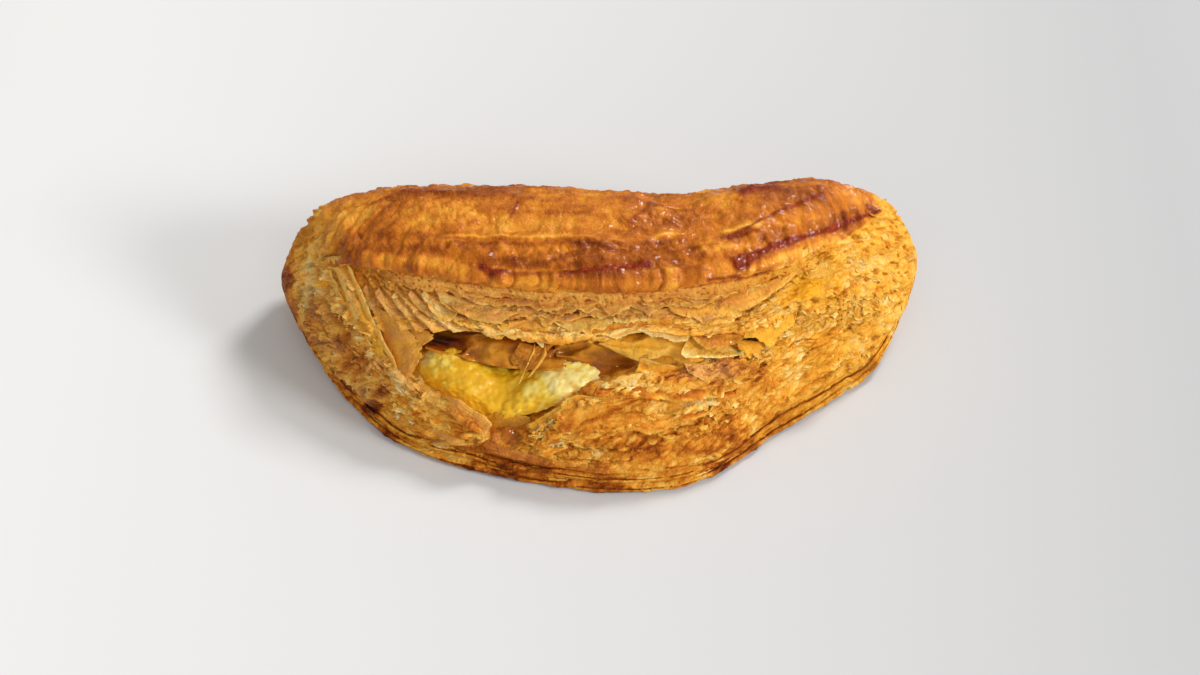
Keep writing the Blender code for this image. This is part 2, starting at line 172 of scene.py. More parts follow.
def leaves(along, over, spacing, seed, wander=1.1, ragged=0.3, patch=13.0):
    # thin layers of dough that lie over each other like roof tiles, with torn edges. Each point gets
    # how high it lies in its own leaf, 0 at the free edge and 1 where the next one covers it, and
    # a random value of its leaf.
    count = (over / spacing + wander * softNoise(along / 17, over / 8, 0, seed, 2)
             + ragged * softNoise(along / 1.7, over / 1.5, 0, seed + 1, 3))
    leaf = np.floor(count)
    shift = 9 * cornerValue(leaf, 0, 0, seed + 2)
    span = np.floor((along + 3 * softNoise(along / 3, over / 2, 0, seed + 4, 2)) / patch + shift)
    return count - leaf, cornerValue(leaf, span, 0, seed + 3)


print("the form of the pie")

# Lines along the pie, each as (x, y) or (x, z), and shares of the wall's height, the same as the
# solid's.
form = {
    "length": 170.0,
    # the share of half the length at which the ends start, the powers that round them in front and
    # behind, at the left and at the right, and the point in the section that they close on
    "endStart": 0.76,
    "endFrontStart": (1.15, 1.5),
    "endFrontRoundness": 0.8,
    "endBackRoundness": (0.72, 0.6),
    "endCentre": (68.5, 12.0),
    "endSkew": 3.0,
    "rim": [(-72, 41), (-58, 22.5), (-45, 12.5), (-30, 7), (-12, 2.3), (10, 0), (24, 3), (35, 10.5),
            (45, 20), (60, 31.5), (72, 43)],
    "lip": [(-72, 52), (-49, 43), (-20, 36), (0, 35), (30, 39), (55, 50), (67, 60), (72, 66)],
    "fold": [(-72, 81), (-50, 83.5), (-25, 83.5), (0, 83.5), (20, 81.5), (38, 82.5), (58, 82), (72, 80)],
    "lipHeight": [(-72, 33), (-50, 37.5), (-20, 39.5), (20, 39.5), (50, 37), (72, 31.5)],
    "undercut": [(-76, 0.8), (-64, 2.4), (-50, 3.6), (44, 3.6), (58, 1.6), (66, 0.6)],
    "crown": [(-72, 36.5), (-50, 43), (-25, 43.5), (0, 44), (20, 42.5), (40, 43.5), (58, 42), (72, 36)],
    "tearLower": [(-66, 0.38), (-53, 0.34), (-42, 0.25), (-33, 0.17), (-26, 0.1), (-19, 0.16), (-8, 0.35),
                  (2, 0.46), (12, 0.5), (26, 0.51), (38, 0.46), (50, 0.4), (62, 0.38)],
    "tearUpper": [(-66, 0.64), (-53, 0.62), (-42, 0.67), (-32, 0.7), (-10, 0.7), (0, 0.73), (12, 0.76),
                  (24, 0.7), (38, 0.66), (50, 0.64), (62, 0.62)],
    "tearDepth": [(-60, 0), (-54, 2), (-46, 12), (-34, 15), (-22, 14), (-8, 15), (8, 16), (24, 14),
                  (36, 8), (46, 0)],
    # the stepped rim, the wall above it, the place of the crease, and the hollow under the lip as
    # places with how far across it each lies. Places are counted in controls round the section.
    "rimLayer": 2.4,
    "rimStepBack": 1.3,
    "rimCrack": 1.7,
    "rimTop": 6.2,
    "wallBulge": 3.6,
    "crease": 17.1,
    "hollow": ((12.8, 13, 14, 15, 16, 16.4), (0, 0.1, 0.61, 0.67, 0.81, 1)),
    # each ledge as a line of (x, y + z) and how far it stands out
    "ledges": [([(-18, 13), (-3, 19.3), (5, 21.6), (16, 26), (32, 33)], 1.7),
               ([(22, 12), (36, 23), (52, 37), (68, 52)], 1.1),
               ([(-72, 44), (-58, 33), (-44, 24), (-32, 17)], 1.1)],
}
wallStart, lipStart = 6, 14

# The layers at the left of the tear are drawn out into folds that curve round this pixel of the
# photograph, at these distances in pixels.
fan = {"centre": (520, 190), "inner": 112, "outer": 202}

# the named numbers that each point of the pastry carries for its finish; paintedShade is painted
# shade that darkens its hollows, pits, cracks and holes
pastryNumbers = ("bake", "glaze", "syrup", "paintedShade", "butter", "moist", "porous", "dry")


def squareTo(run):
    # the direction at right angles to each run of a section, to its front where it runs upwards
    return np.stack([-run[..., 1], run[..., 0]], -1) / np.linalg.norm(run, axis=-1, keepdims=True)


def wallPoint(x, share, out=0.0):
    # a point of the torn front wall: share runs from the rim's top, 0, to under the lip, 1
    rim, lip = curveThrough(form["rim"], x), curveThrough(form["lip"], x)
    undercut = curveThrough(form["undercut"], x)
    low = np.stack([rim + 2.5, np.full_like(x, form["rimTop"])], -1)
    high = np.stack([lip + 0.5 * undercut, curveThrough(form["lipHeight"], x) - undercut], -1)
    run = high - low
    bulge = form["wallBulge"] * np.sin(math.pi * np.clip(share, 0, 1)) ** 0.7
    return low + run * share[..., None] + squareTo(run) * (bulge + out)[..., None]


def wallAt(x, oblique, out=0.0):
    # the point of the front wall at x where y + z has this value
    low, high = wallPoint(x, np.zeros_like(x)), wallPoint(x, np.ones_like(x))
    share = (oblique - low.sum(axis=-1)) / (high - low).sum(axis=-1)
    return wallPoint(x, share, out)


def sectionControls(x):
    rim, lip, fold = (curveThrough(form[k], x) for k in ("rim", "lip", "fold"))
    crown, lipZ = curveThrough(form["crown"], x), curveThrough(form["lipHeight"], x)
    undercut = curveThrough(form["undercut"], x)
    lower, upper = curveThrough(form["tearLower"], x), curveThrough(form["tearUpper"], x)
    depth = curveThrough(form["tearDepth"], x)
    level = np.zeros_like(x)
    layer, back, crack = form["rimLayer"], form["rimStepBack"], form["rimCrack"]

    def at(y, z):
        return np.stack([y + level, z + level], -1)

    def onWall(share, out=0.0):
        return wallPoint(x, share + level, out)

    opened = smoothStep(0, 6, depth)
    low, high = 0.33 - 0.23 * opened, 0.67 + 0.18 * opened
    crust = fold - lip
    return np.stack([
        at(rim + 4.0, 0), at(rim + 0.8, 0.4), at(rim, 0.6 * layer), at(rim + crack, layer),
        at(rim + back, 1.6 * layer), at(rim + back + crack, 2 * layer),
        at(rim + 1.6 * back, 2 * layer + 1.4),
        onWall(np.minimum(0.12, 0.45 * lower), 0.3), onWall(np.minimum(0.3, 0.8 * lower), 0.5),
        onWall(lower, 0.6 * opened),
        onWall(lower + low * (upper - lower)) + at(depth * 1.15, -0.3 * depth),
        onWall(lower + high * (upper - lower)) + at(depth * 1.1, -0.25 * depth),
        onWall(upper, 1.4 * opened), onWall(0.5 + 0.5 * upper),
        at(lip + 0.5 * undercut, lipZ - undercut), at(lip, lipZ - 0.33 * undercut),
        at(lip + 0.06 * crust, lipZ + 1.3), at(lip + 0.32 * crust, crown - 1.0),
        at(lip + 0.6 * crust, crown), at(fold - 0.2 * crust, crown - 0.16 * crown),
        at(fold, 0.48 * crown), at(fold - 1.61, 6.0), at(fold - 7.0, 0),
    ], axis=1)


def aroundSection(controls, places):
    # points of a closed smooth curve through the controls, at these places counted in controls
    count = controls.shape[1]
    index = np.floor(places).astype(int)
    u = (places - index)[None, :, None]
    a, b, c, d = (controls[:, (index + k) % count] for k in (-1, 0, 1, 2))
    curved = 0.5 * (2 * b + (c - a) * u + (2 * a - 5 * b + 4 * c - d) * u**2
                    + (3 * b - a - 3 * c + d) * u**3)
    # the flat underside would overshoot the rim
    flat = ((index % count == 0) | (index % count == count - 1))[None, :, None]
    return np.where(flat, b + (c - b) * u, curved)


def innerX(x):
    # x, held where the ends start
    start = form["endStart"] * form["length"] / 2
    return np.clip(x, -start, start)


def pastEndStart(x):
    # 0 up to where the ends start, and 1 at the tips
    return np.clip((2 * np.abs(x) / form["length"] - form["endStart"]) / (1 - form["endStart"]), 0, 1)


def calmTips(x):
    # 1 along the pie, and less relief at its tips
    return 1 - 0.75 * smoothStep(0.92, 1.0, np.abs(x) / (form["length"] / 2))


def drawnToEnds(x, section):
    # points from their x and their (y, z) in the section, which shrinks to a point at both ends
    centreY, centreZ = form["endCentre"]
    past = pastEndStart(x)
    centre = np.stack([centreY + form["endSkew"] * np.sign(x), np.full_like(x, centreZ)], -1)
    behind = smoothStep(-20, 12, section[..., 0] - centre[..., 0])
    right = x > 0
    frontStart = np.where(right, form["endFrontStart"][1], form["endFrontStart"][0])
    front = (1 - past**frontStart) ** form["endFrontRoundness"]
    back = (1 - past**2) ** np.where(right, form["endBackRoundness"][1], form["endBackRoundness"][0])
    section = centre + (section - centre) * (front + (back - front) * behind)[..., None]
    return np.concatenate([(x + 0 * section[..., 0])[..., None], section], axis=-1)


def pieGrid(x, places):
    # the smooth pie at these x and these places round its section
    return drawnToEnds(x[:, None], aroundSection(sectionControls(innerX(x)), places))


def closedUnderLip(x, places, grid):
    # towards both tips the hollow under the lip closes, and the side runs on into the top
    stops, shares = form["hollow"]
    first, last = stops[0], stops[-1]
    low, high = pieGrid(x, np.array([first])), pieGrid(x, np.array([last]))
    share = np.interp(places, stops, shares)[:, None]
    straight = low + (high - low) * share
    bow = 4 * share * (1 - share) * (1 - pastEndStart(x))[:, None, None]
    straight = straight + bow * np.array([0.0, -0.7, 0.8])
    near = (smoothStep(50, 62, x) + smoothStep(66, 76, -x))[:, None, None]
    near = near * between(first, first + 0.3, last - 0.3, last, places)[:, None]
    return grid + (straight - grid) * near


def gridNormals(grid):
    lengthwise, around = np.gradient(grid, axis=0), np.gradient(grid, axis=1)
    normal = np.cross(lengthwise, around)
    return normal / np.maximum(np.linalg.norm(normal, axis=-1, keepdims=True), 1e-9)


def frontNormals(grid):
    # the normals of a sheet, on the side that faces the front
    normals = gridNormals(grid)
    return -normals if normals[..., 1].mean() > 0 else normals


def stationsAlong(count, crowding=0.35):
    angle, even = np.linspace(0, math.pi, count + 1), np.linspace(-1, 1, count + 1)
    return form["length"] / 2 * (crowding * -np.cos(angle) + (1 - crowding) * even)


def placesAlong(start, end, spacing):
    # places round the section about so many millimetres apart, measured at the widest section
    fine = np.linspace(start, end, 2000)
    middle = pieGrid(np.array([-18.0, 0.0, 18.0]), fine)
    step = np.linalg.norm(np.diff(middle, axis=1), axis=2).max(axis=0)
    run = np.concatenate([[0], np.cumsum(step)])
    return np.interp(np.linspace(0, run[-1], int(run[-1] / spacing)), run, fine)


def seenAt(points):
    # the pixel of the photograph at which the camera sees each point
    tilt = math.radians(view["elevation"])
    away = points + originShift - np.array(view["target"])
    back = view["distance"] - (-away[..., 1] * math.cos(tilt) + away[..., 2] * math.sin(tilt))
    upward = away[..., 1] * math.sin(tilt) + away[..., 2] * math.cos(tilt)
    wide, high = view["frame"]
    scale = view["lens"] / view["sensor"] * wide / back
    return wide / 2 + scale * away[..., 0], high / 2 - scale * upward


def wallSeenAt(px, py):
    # x and y + z of the wall's point that the camera sees at this pixel, closer in each round
    tilt = math.radians(view["elevation"])
    wide, high = view["frame"]
    back = np.full(np.shape(px), view["distance"] - 10)
    for _ in range(4):
        scale = view["lens"] / view["sensor"] * wide / back
        x = (px - wide / 2) / scale
        oblique = view["target"][2] - originShift[1] + (high / 2 - py) / scale / math.sin(tilt)
        place = wallAt(x, oblique) + [originShift[1], -view["target"][2]]
        back = view["distance"] + place[..., 0] * math.cos(tilt) - place[..., 1] * math.sin(tilt)
    return x, oblique


def pixelsAlong(line, shares):
    # px and py of a smooth curve through a line of pixels, at these shares of the way along it
    even = np.linspace(0, 1, len(line))
    return [curveThrough(np.stack([even, np.array(line, float)[:, k]], 1), shares) for k in (0, 1)]


def sizeInMm(first, last):
    # the length of a sheet's last line of pixels and its mean distance from the first
    length = np.linalg.norm(np.diff(last, axis=0), axis=1).sum()
    width = np.linalg.norm(np.subtract(first, last), axis=1).mean()
    return length / pixelsPerMm, width / pixelsPerMm


def nearLine(px, py, line, width):
    # 1 on a line of (px, py) points, and fading over width to each side
    nearest = np.full(px.shape, 1e9)
    for (ax, ay), (bx, by) in zip(line, line[1:]):
        along = np.clip(((px - ax) * (bx - ax) + (py - ay) * (by - ay)) / ((bx - ax)**2 + (by - ay)**2), 0, 1)
        nearest = np.minimum(nearest, np.hypot(px - ax - along * (bx - ax), py - ay - along * (by - ay)))
    return np.exp(-(nearest / width) ** 2)


def nearSpots(px, py, spots):
    # soft oval touches, each (px, py, half width, half height, turn in degrees, amount)
    total = np.zeros(px.shape)
    for x, y, wide, high, turn, amount in spots:
        cosine, sine = math.cos(math.radians(turn)), math.sin(math.radians(turn))
        a, b = (px - x) * cosine + (py - y) * sine, -(px - x) * sine + (py - y) * cosine
        total += amount * np.exp(-((a / wide) ** 2 + (b / high) ** 2) ** 1.5)
    return total


def roundFan(px, py):
    # distance from the fan's centre and way round it, both in millimetres, and how much each point
    # lies in the fan
    away = np.hypot(px - fan["centre"][0], py - fan["centre"][1])
    turn = np.arctan2(py - fan["centre"][1], fan["centre"][0] - px)
    within = smoothStep(fan["inner"] - 4, fan["inner"] + 6, away)
    within = within * (1 - smoothStep(fan["outer"] - 4, fan["outer"] + 8, away))
    within = within * (1 - smoothStep(1.5, 1.65, turn))
    return away / pixelsPerMm, turn * away / pixelsPerMm, within


def keptInside(points):
    # eases what comes near the solid's box back inside it, so that no edge looks cut off
    low, high = np.array(cadBox[0]) / mm, np.array(cadBox[1]) / mm
    margin = np.array([0.4, 1.0, 1.0])
    points = points.copy()
    for axis in (0, 1, 2):
        m = margin[axis]
        if axis < 2:
            room = points[..., axis] - low[axis]
            points[..., axis] = np.where(room < m, low[axis] + m * np.exp((room - m) / m), points[..., axis])
        room = high[axis] - points[..., axis]
        points[..., axis] = np.where(room < m, high[axis] - m * np.exp((room - m) / m), points[..., axis])
    points[..., 2] = np.maximum(points[..., 2], 0)
    return points


def storeNumber(mesh, key, value):
    attribute = mesh.attributes.new(key, "FLOAT", "POINT")
    attribute.data.foreach_set("value", value.astype(np.float32))


def finishPiece(piece, seam=0.0):
    # joins points that lie closer than the seam, turns the faces outwards and shades them smooth
    bpy.ops.object.mode_set(mode="EDIT")
    bpy.ops.mesh.select_all(action="SELECT")
    if seam > 0:
        bpy.ops.mesh.remove_doubles(threshold=seam)
    bpy.ops.mesh.normals_make_consistent(inside=False)
    bpy.ops.object.mode_set(mode="OBJECT")
    bpy.ops.object.shade_smooth()
    piece.data.calc_loop_triangles()
    print("  ", piece.name, len(piece.data.loop_triangles), "triangles")
    return piece


def closedShell(name, outer, inner, values, keys=pastryNumbers):
    # one closed skin from an outer grid of points and an inner one that runs back underneath: a
    # flat grid rolled up along its columns, with its first and last rows drawn to a point. values:
    # the named numbers that aren't 0, for each point of the outer grid.
    loop = np.concatenate([outer, inner[:, ::-1]], axis=1)
    rows, columns = loop.shape[0] - 1, loop.shape[1]
    bpy.ops.object.select_all(action="DESELECT")
    bpy.ops.mesh.primitive_grid_add(x_subdivisions=columns, y_subdivisions=rows, size=2)
    piece = bpy.context.object
    piece.name = name
    piece.data.name = name
    co = np.empty(len(piece.data.vertices) * 3, np.float32)
    piece.data.vertices.foreach_get("co", co)
    co = co.reshape(-1, 3)
    column = np.rint((co[:, 0] + 1) / 2 * columns).astype(int) % columns
    row = np.rint((co[:, 1] + 1) / 2 * rows).astype(int)
    place = loop[row, column]
    for pole in (0, rows):
        place[row == pole] = loop[pole].mean(axis=0)
    place = keptInside(place + originShift) * mm
    piece.data.vertices.foreach_set("co", place.astype(np.float32).ravel())
    for key in keys:
        value = values.get(key, 0.0) + np.zeros(outer.shape[:2])
        underneath = value[:, -1:] + np.zeros(inner.shape[:2])
        storeNumber(piece.data, key, np.concatenate([value, underneath], axis=1)[row, column])
    return finishPiece(piece, seam=1e-6)


def joinedSheets(name, groups):
    # many thin closed sheets as one mesh. Each group holds the grids of its sheets' fronts and
    # backs, as (sheet, row, column, xyz), and named numbers for each point.
    points, faces, numbers, start = [], [], {k: [] for k in pastryNumbers}, 0
    for fronts, backs, values in groups:
        count, rows, columns = fronts.shape[:3]
        size = rows * columns
        one = np.arange(size).reshape(rows, columns)
        quads = np.stack([one[:-1, :-1], one[1:, :-1], one[1:, 1:], one[:-1, 1:]], -1).reshape(-1, 4)
        ring = np.concatenate([one[0, :-1], one[:-1, -1], one[-1, :0:-1], one[:0:-1, 0]])
        after = np.roll(ring, -1)
        sides = np.stack([ring, after, after + size, ring + size], -1)
        each = np.concatenate([quads, quads[:, ::-1] + size, sides])
        faces.append((each[None] + 2 * size * np.arange(count)[:, None, None]).reshape(-1, 4) + start)
        points.append(np.stack([fronts, backs], 1).reshape(-1, 3))
        for key in pastryNumbers:
            value = values.get(key, 0.0) + np.zeros((count, rows, columns))
            numbers[key].append(np.stack([value, value], 1).ravel())
        start += 2 * size * count
    points, faces = np.concatenate(points), np.concatenate(faces)
    made = bpy.data.meshes.new(name)
    made.from_pydata((keptInside(points + originShift) * mm).tolist(), [], faces.tolist())
    for key in pastryNumbers:
        storeNumber(made, key, np.concatenate(numbers[key]))
    piece = bpy.data.objects.new(name, made)
    bpy.context.scene.collection.objects.link(piece)
    bpy.ops.object.select_all(action="DESELECT")
    piece.select_set(True)
    bpy.context.view_layer.objects.active = piece
    return finishPiece(piece)


def innerSkin(smooth, normals, thickness, step):
    # the back of a shell: every so many points of the smooth form, moved inwards, thinner at the tips.
    # thickness: one number, or one for each point round the section.
    half = form["length"] / 2
    thin = thickness * np.sqrt(np.clip((1 - np.abs(smooth[:, :1, 0]) / half) / 0.2, 0, 1))
    keep = np.unique(np.concatenate([np.arange(0, smooth.shape[1], step), [smooth.shape[1] - 1]]))
    return (smooth - normals * thin[..., None])[:, keep]


print("the glazed top crust")

topCrust = {
    # the places round the section where it starts, gets coarser behind the crown, and ends
    "from": 14.12,
    "crown": 19.2,
    "to": 22.35,
    "spacing": 0.38,
    "backSpacing": 1.3,
    "stations": 460,
    "shell": 3.0,
    # how high each form stands, in mm, and those that are calmer on the back
    "relief": {"swell": 0.6, "lumps": 0.6, "layerEnd": 0.7, "groove": -0.7, "dents": -0.65, "overRoll": 0.3,
               "skewed": 0.6, "patches": 0.2, "grain": 0.08, "syrup": 0.4, "halo": -0.25},
    "skinRelief": {"skin": 0.42, "wrinkles": 0.26, "blisters": 0.45},
    # how much browner each form makes its place; browner in the dents and under the layer's end is
    # painted shade
    "bake": {"level": 0.565, "swell": 0.06, "patches": 0.09, "skin": 0.05, "wrinkles": 0.05, "dents": 0.1,
             "blisters": -0.1, "freckles": 0.04, "onRoll": -0.048, "overRoll": -0.06, "onBand": 0.06,
             "skewed": -0.06, "halo": 0.08, "shadeUnderLayerEnd": 0.16, "layerEndEdge": -0.24},
    # the edge where the upper layer of dough ends behind the front band
    "crest": ((380, 453, 520, 600, 655, 720, 800, 850), (232, 237, 240, 242, 241, 236, 222, 206)),
    # how far down the egg wash reaches on the right
    "washedTo": ((760, 800, 830, 860, 885), (300, 262, 244, 227, 206)),
    # dark sticky streaks of syrup, as lines of the photograph's pixels with their width and amount
    "streaks": [
        ([(482, 266), (492, 273), (505, 271)], 6.0, 0.9),
        ([(500, 272), (530, 272), (566, 271)], 4.2, 0.62),
        ([(566, 271), (600, 270), (648, 264)], 4.0, 1.0),
        ([(686, 268), (705, 270)], 3.6, 0.55),
        ([(708, 279), (738, 275)], 2.8, 0.75),
        ([(738, 264), (748, 258), (758, 254)], 6.4, 1.25),
        ([(758, 254), (772, 247), (802, 237)], 4.6, 1.1),
        ([(802, 237), (830, 229), (850, 221), (875, 212)], 3.6, 0.95),
        ([(868, 204), (878, 211)], 3.0, 0.75),
        ([(730, 236), (750, 228), (778, 212), (800, 203), (822, 196)], 2.6, 0.75),
        ([(630, 224), (641, 214), (652, 203)], 4.2, 0.6),
        ([(742, 194), (752, 190)], 4.6, 0.85),
        ([(752, 190), (778, 188)], 4.0, 0.8),
        ([(518, 202), (516, 208), (511, 217)], 3.0, 0.7),
        ([(546, 213), (562, 212), (582, 212)], 3.2, 0.55),
        ([(372, 203), (384, 196), (400, 190), (436, 189)], 3.6, 0.6),
        ([(350, 262), (390, 250)], 2.0, 0.25),
    ],
    # browner and paler places, as ovals of the photograph's pixels
    "browner": [
        (420, 250, 60, 7, -3, 0.14), (390, 268, 60, 7, 8, 0.1), (440, 216, 120, 30, 0, 0.03),
        (345, 240, 12, 22, 20, 0.08), (560, 258, 80, 10, 0, 0.02), (590, 276, 100, 6, 0, 0.06),
        (470, 236, 90, 3, 2, 0.14), (700, 262, 60, 8, -6, 0.05), (700, 216, 40, 20, 0, 0.02),
        (660, 228, 50, 7, 0, 0.06), (345, 268, 50, 6, 20, 0.12), (600, 200, 60, 8, 0, 0.07),
        (384, 215, 30, 9, -30, 0.1), (520, 262, 40, 5, 3, 0.08), (440, 194, 60, 4, 0, 0.1),
    ],
    "paler": [
        (440, 213, 60, 13, -4, 0.14), (520, 222, 50, 9, 0, 0.1), (585, 224, 60, 9, 0, 0.08),
        (560, 241, 130, 2.2, 0, 0.06), (740, 246, 50, 3, -8, 0.1), (600, 283, 80, 4, 0, 0.05),
        (720, 200, 20, 9, 0, 0.12), (850, 196, 22, 8, 20, 0.06), (350, 225, 26, 18, -40, 0.1),
        (770, 262, 40, 4, -22, 0.12), (430, 262, 16, 6, 10, 0.1),
    ],
}

ends = {
    # how high each form stands, in mm, and how much browner it makes its place; browner in the
    # cracks and pits is painted shade, as is the layers' shade
    "relief": {"lumps": 0.6, "warp": 0.6, "leftWarp": 0.3, "fibres": 0.4, "flakes": 1.0, "crumbs": 0.16,
               "fine": 0.1, "pits": -0.6, "drawnLayers": 1.0},
    "bake": {"level": 0.42, "warp": 0.09, "flakeTone": 0.08, "crumbTone": 0.06, "cracks": 0.06, "pits": 0.14,
             "left": -0.04, "leftLumps": 0.07, "fibres": -0.12, "farRight": -0.1, "rightPits": 0.1,
             "rightPatches": -0.12, "layerTone": 0.13, "layerEdges": -0.2, "layerShade": 0.24},
    # browner and paler places, as ovals of the photograph's pixels; the one at 354, 356 is painted
    # shade in a hollow
    "tones": [
        (286, 276, 6, 15, 0, 0.34), (291, 306, 6, 22, -12, 0.2), (306, 340, 7, 22, -30, 0.16),
        (300, 230, 10, 12, 30, 0.08), (326, 320, 17, 15, 30, 0.2), (354, 356, 15, 13, 40, 0.34),
        (350, 330, 8, 12, 0, 0.16), (309, 264, 15, 28, 10, -0.14), (324, 246, 14, 10, 20, -0.12),
        (338, 290, 9, 14, 0, -0.08), (316, 292, 12, 8, 0, -0.1), (862, 250, 30, 16, -30, -0.06),
        (846, 262, 14, 6, -20, 0.14), (890, 244, 10, 3, 20, 0.2), (905, 280, 8, 30, 0, 0.05),
    ],
}


def endRelief(xx, yy, zz, s=ends):
    # the coarse, unglazed ends: porous crumb on the right, torn and drawn-out layers on the left, the
    # same on all shells so that they meet. Gives the height, how baked, how much painted shade darkens it
    # and how dry it is.
    warp = softNoise(xx / 3.0, yy / 2.4, zz / 2.4, 15, 3)
    bit, bitEdge, _, offY = flakeCells(xx / 3.4 + 0.5 * warp, (yy + zz) / 2.6 + 0.5 * warp, 33)
    crumb, crumbEdge, _, _ = flakeCells(xx / 1.4 + 0.4 * warp, (yy + 0.8 * zz) / 1.2 + 0.4 * warp, 35)
    pit, pitEdge, _, _ = flakeCells(xx / 1.8 + 0.9 * warp, (yy + 0.9 * zz) / 1.3 + 0.9 * warp, 37)
    lumps = softNoise(xx / 8, yy / 6, zz / 6, 36, 3)
    fine = softNoise(xx / 1.2, yy / 1.0, zz / 1.0, 38, 2)
    patches = smoothStep(0.25, 0.6, softNoise(xx / 4.0, (yy + zz) / 2.6, 0, 65, 3))
    px, py = seenAt(np.stack([xx, yy, zz], -1))
    left, right = smoothStep(44, 58, -xx), smoothStep(30, 50, xx)
    # the left end's layers are drawn out round the fan's centre, in fibres
    away, around, _ = roundFan(px, py)
    layer, layerOwn = leaves(around, -away, 5.0, 63, 1.3, 0.35, 11.0)
    drawn = left * (1 - smoothStep(46, 60, yy))
    drawn = drawn * smoothStep(-0.6, 0.1, softNoise(around / 8, away / 6, 0, 64, 2))
    fibres = softNoise((px + 0.25 * py) / 4.0 + 0.8 * warp, py / 26, 0, 66, 2)
    pits = smoothStep(0.35, 0.8, pit) * smoothStep(0.03, 0.3, pitEdge) * (1 - 0.7 * left)
    crumb = crumb * (1 - 0.6 * left)
    forms = {
        "level": 1.0, "lumps": lumps, "warp": warp, "leftWarp": left * warp, "fibres": left * fibres,
        "flakes": (0.4 * bit - 0.45 * offY) * smoothStep(0, 0.25, bitEdge), "pits": pits,
        "crumbs": crumb * smoothStep(0, 0.3, crumbEdge), "fine": fine * (1 - 0.4 * left),
        "drawnLayers": drawn * (2.0 * (1 - layer) ** 1.3 - 0.6),
        "flakeTone": bit, "crumbTone": crumb, "cracks": 1 - smoothStep(0, 0.2, bitEdge), "left": left,
        "leftLumps": lumps * smoothStep(30, 60, -xx), "farRight": smoothStep(30, 60, xx),
        "rightPits": right * pits, "rightPatches": right * patches, "layerTone": drawn * layerOwn,
        "layerEdges": drawn * np.exp(-layer / 0.12), "layerShade": drawn * smoothStep(0.7, 1, layer),
    }
    height = blend(forms, s["relief"])
    bake = blend(forms, s["bake"]) + nearSpots(px, py, s["tones"])
    # painted shade, darker where the surface lies low
    return height, bake, 0.55 * smoothStep(-0.3, -1.1, height), drawn * (0.5 + 0.35 * layerOwn)


def topForms(s, smooth, normals, place):
    # the forms that the top crust is blended from
    px, py = seenAt(smooth)
    xx, yy, zz = (smooth[..., k] for k in range(3))
    behind = yy + 1.2 * (44 - zz)
    # a long step where the upper layer of dough ends behind the lip
    wavy = 0.05 * softNoise(xx / 20, 0, 0, 6, 3) + 0.03 * softNoise(xx / 3, 0, 0, 7, 2)
    crest = np.interp(px, *s["crest"])
    behindStep = np.where(place > 18.5, place - form["crease"], (crest - py) / 40 + wavy)
    stepped = between(-50, -30, 46, 60, xx)
    stepped = stepped * smoothStep(-0.9, 0.1, softNoise(xx / 9, 0, 0, 5, 2))
    step = smoothStep(-0.02, 0.03, behindStep) * np.exp(-np.maximum(behindStep, 0) / 0.5)
    groove = np.exp(-((place - 16.22) / 0.1) ** 2) * between(-48, -34, 18, 34, xx)
    # a dry skin: narrow dents that run over the front roll, skewed ones behind it and a few on top
    patches = softNoise(xx / 15, behind / 4.5, 0, 9, 3)
    skin = softNoise(xx / 2.3, behind / 1.7, 0, 10, 3)
    onRoll = between(14.7, 15.0, 16.0, 16.2, place)
    onBand = smoothStep(16.2, 16.4, place) * (1 - smoothStep(-0.12, 0, behindStep))
    onCrown = smoothStep(0.1, 0.4, behindStep) * (1 - smoothStep(19.6, 20.4, place))
    across = softNoise((xx + 0.35 * behind + patches) / 2.6, behind / 18, 0, 8, 2)
    short = softNoise((xx + 0.3 * behind) / 2.6, behind / 3.2, 0, 28, 2)
    skewed = softNoise((xx + 0.5 * behind) / 3.0, behind / 7, 0, 26, 2)
    some = smoothStep(0.0, 0.5, softNoise(xx / 9, behind / 6, 0, 27, 2))
    dents = (onRoll * (0.2 + 0.8 * some) * np.exp(-(across / 0.1) ** 2)
             + 0.8 * onBand * (0.3 + 0.7 * some) * np.exp(-(skewed / 0.13) ** 2)
             + 0.5 * onCrown * some * np.exp(-(short / 0.1) ** 2))
    blister, blisterEdge, _, _ = flakeCells(xx / 7.0 + 0.3 * skin, behind / 3.8 + 0.3 * skin, 21)
    # nothing that the camera sees is painted on the back too
    front = smoothStep(-0.1, 0.08, normals[..., 2] - normals[..., 1])
    ragged = 1 + 0.5 * softNoise(xx / 3.0, behind / 2.0, 0, 12, 3)
    sticky, halo = np.zeros(xx.shape), np.zeros(xx.shape)
    for line, width, amount in s["streaks"]:
        sticky = np.maximum(sticky, amount * nearLine(px, py, line, width * ragged) * front)
        halo = np.maximum(halo, amount * nearLine(px, py, line, 1.9 * width) * front)
    return {
        "level": 1.0, "swell": softNoise(xx / 24, yy / 17, zz / 20, 3, 2),
        "lumps": softNoise(xx / 10, yy / 6, zz / 9, 4, 2), "patches": patches, "skin": skin,
        "wrinkles": softNoise((xx + 0.3 * behind) / 7, behind / 1.1, 0, 13, 2),
        "grain": softNoise(xx / 0.9, behind / 0.8, 0, 19, 2),
        "freckles": softNoise(xx / 1.1, behind / 0.9, 0, 18, 2),
        "blisters": smoothStep(0.0, 0.45, blisterEdge) * smoothStep(0.45, 0.9, blister),
        "layerEnd": stepped * step, "groove": groove, "dents": dents, "onRoll": onRoll, "onBand": onBand,
        "overRoll": onRoll * across, "skewed": onBand * skewed,
        # painted shade under the step where the layer ends
        "shadeUnderLayerEnd": stepped * np.exp(-((behindStep + 0.08) / 0.07) ** 2),
        "layerEndEdge": stepped * np.exp(-((behindStep - 0.05) / 0.04) ** 2),
        "front": front, "sticky": sticky, "syrup": smoothStep(0.4, 0.9, sticky), "halo": halo,
    }


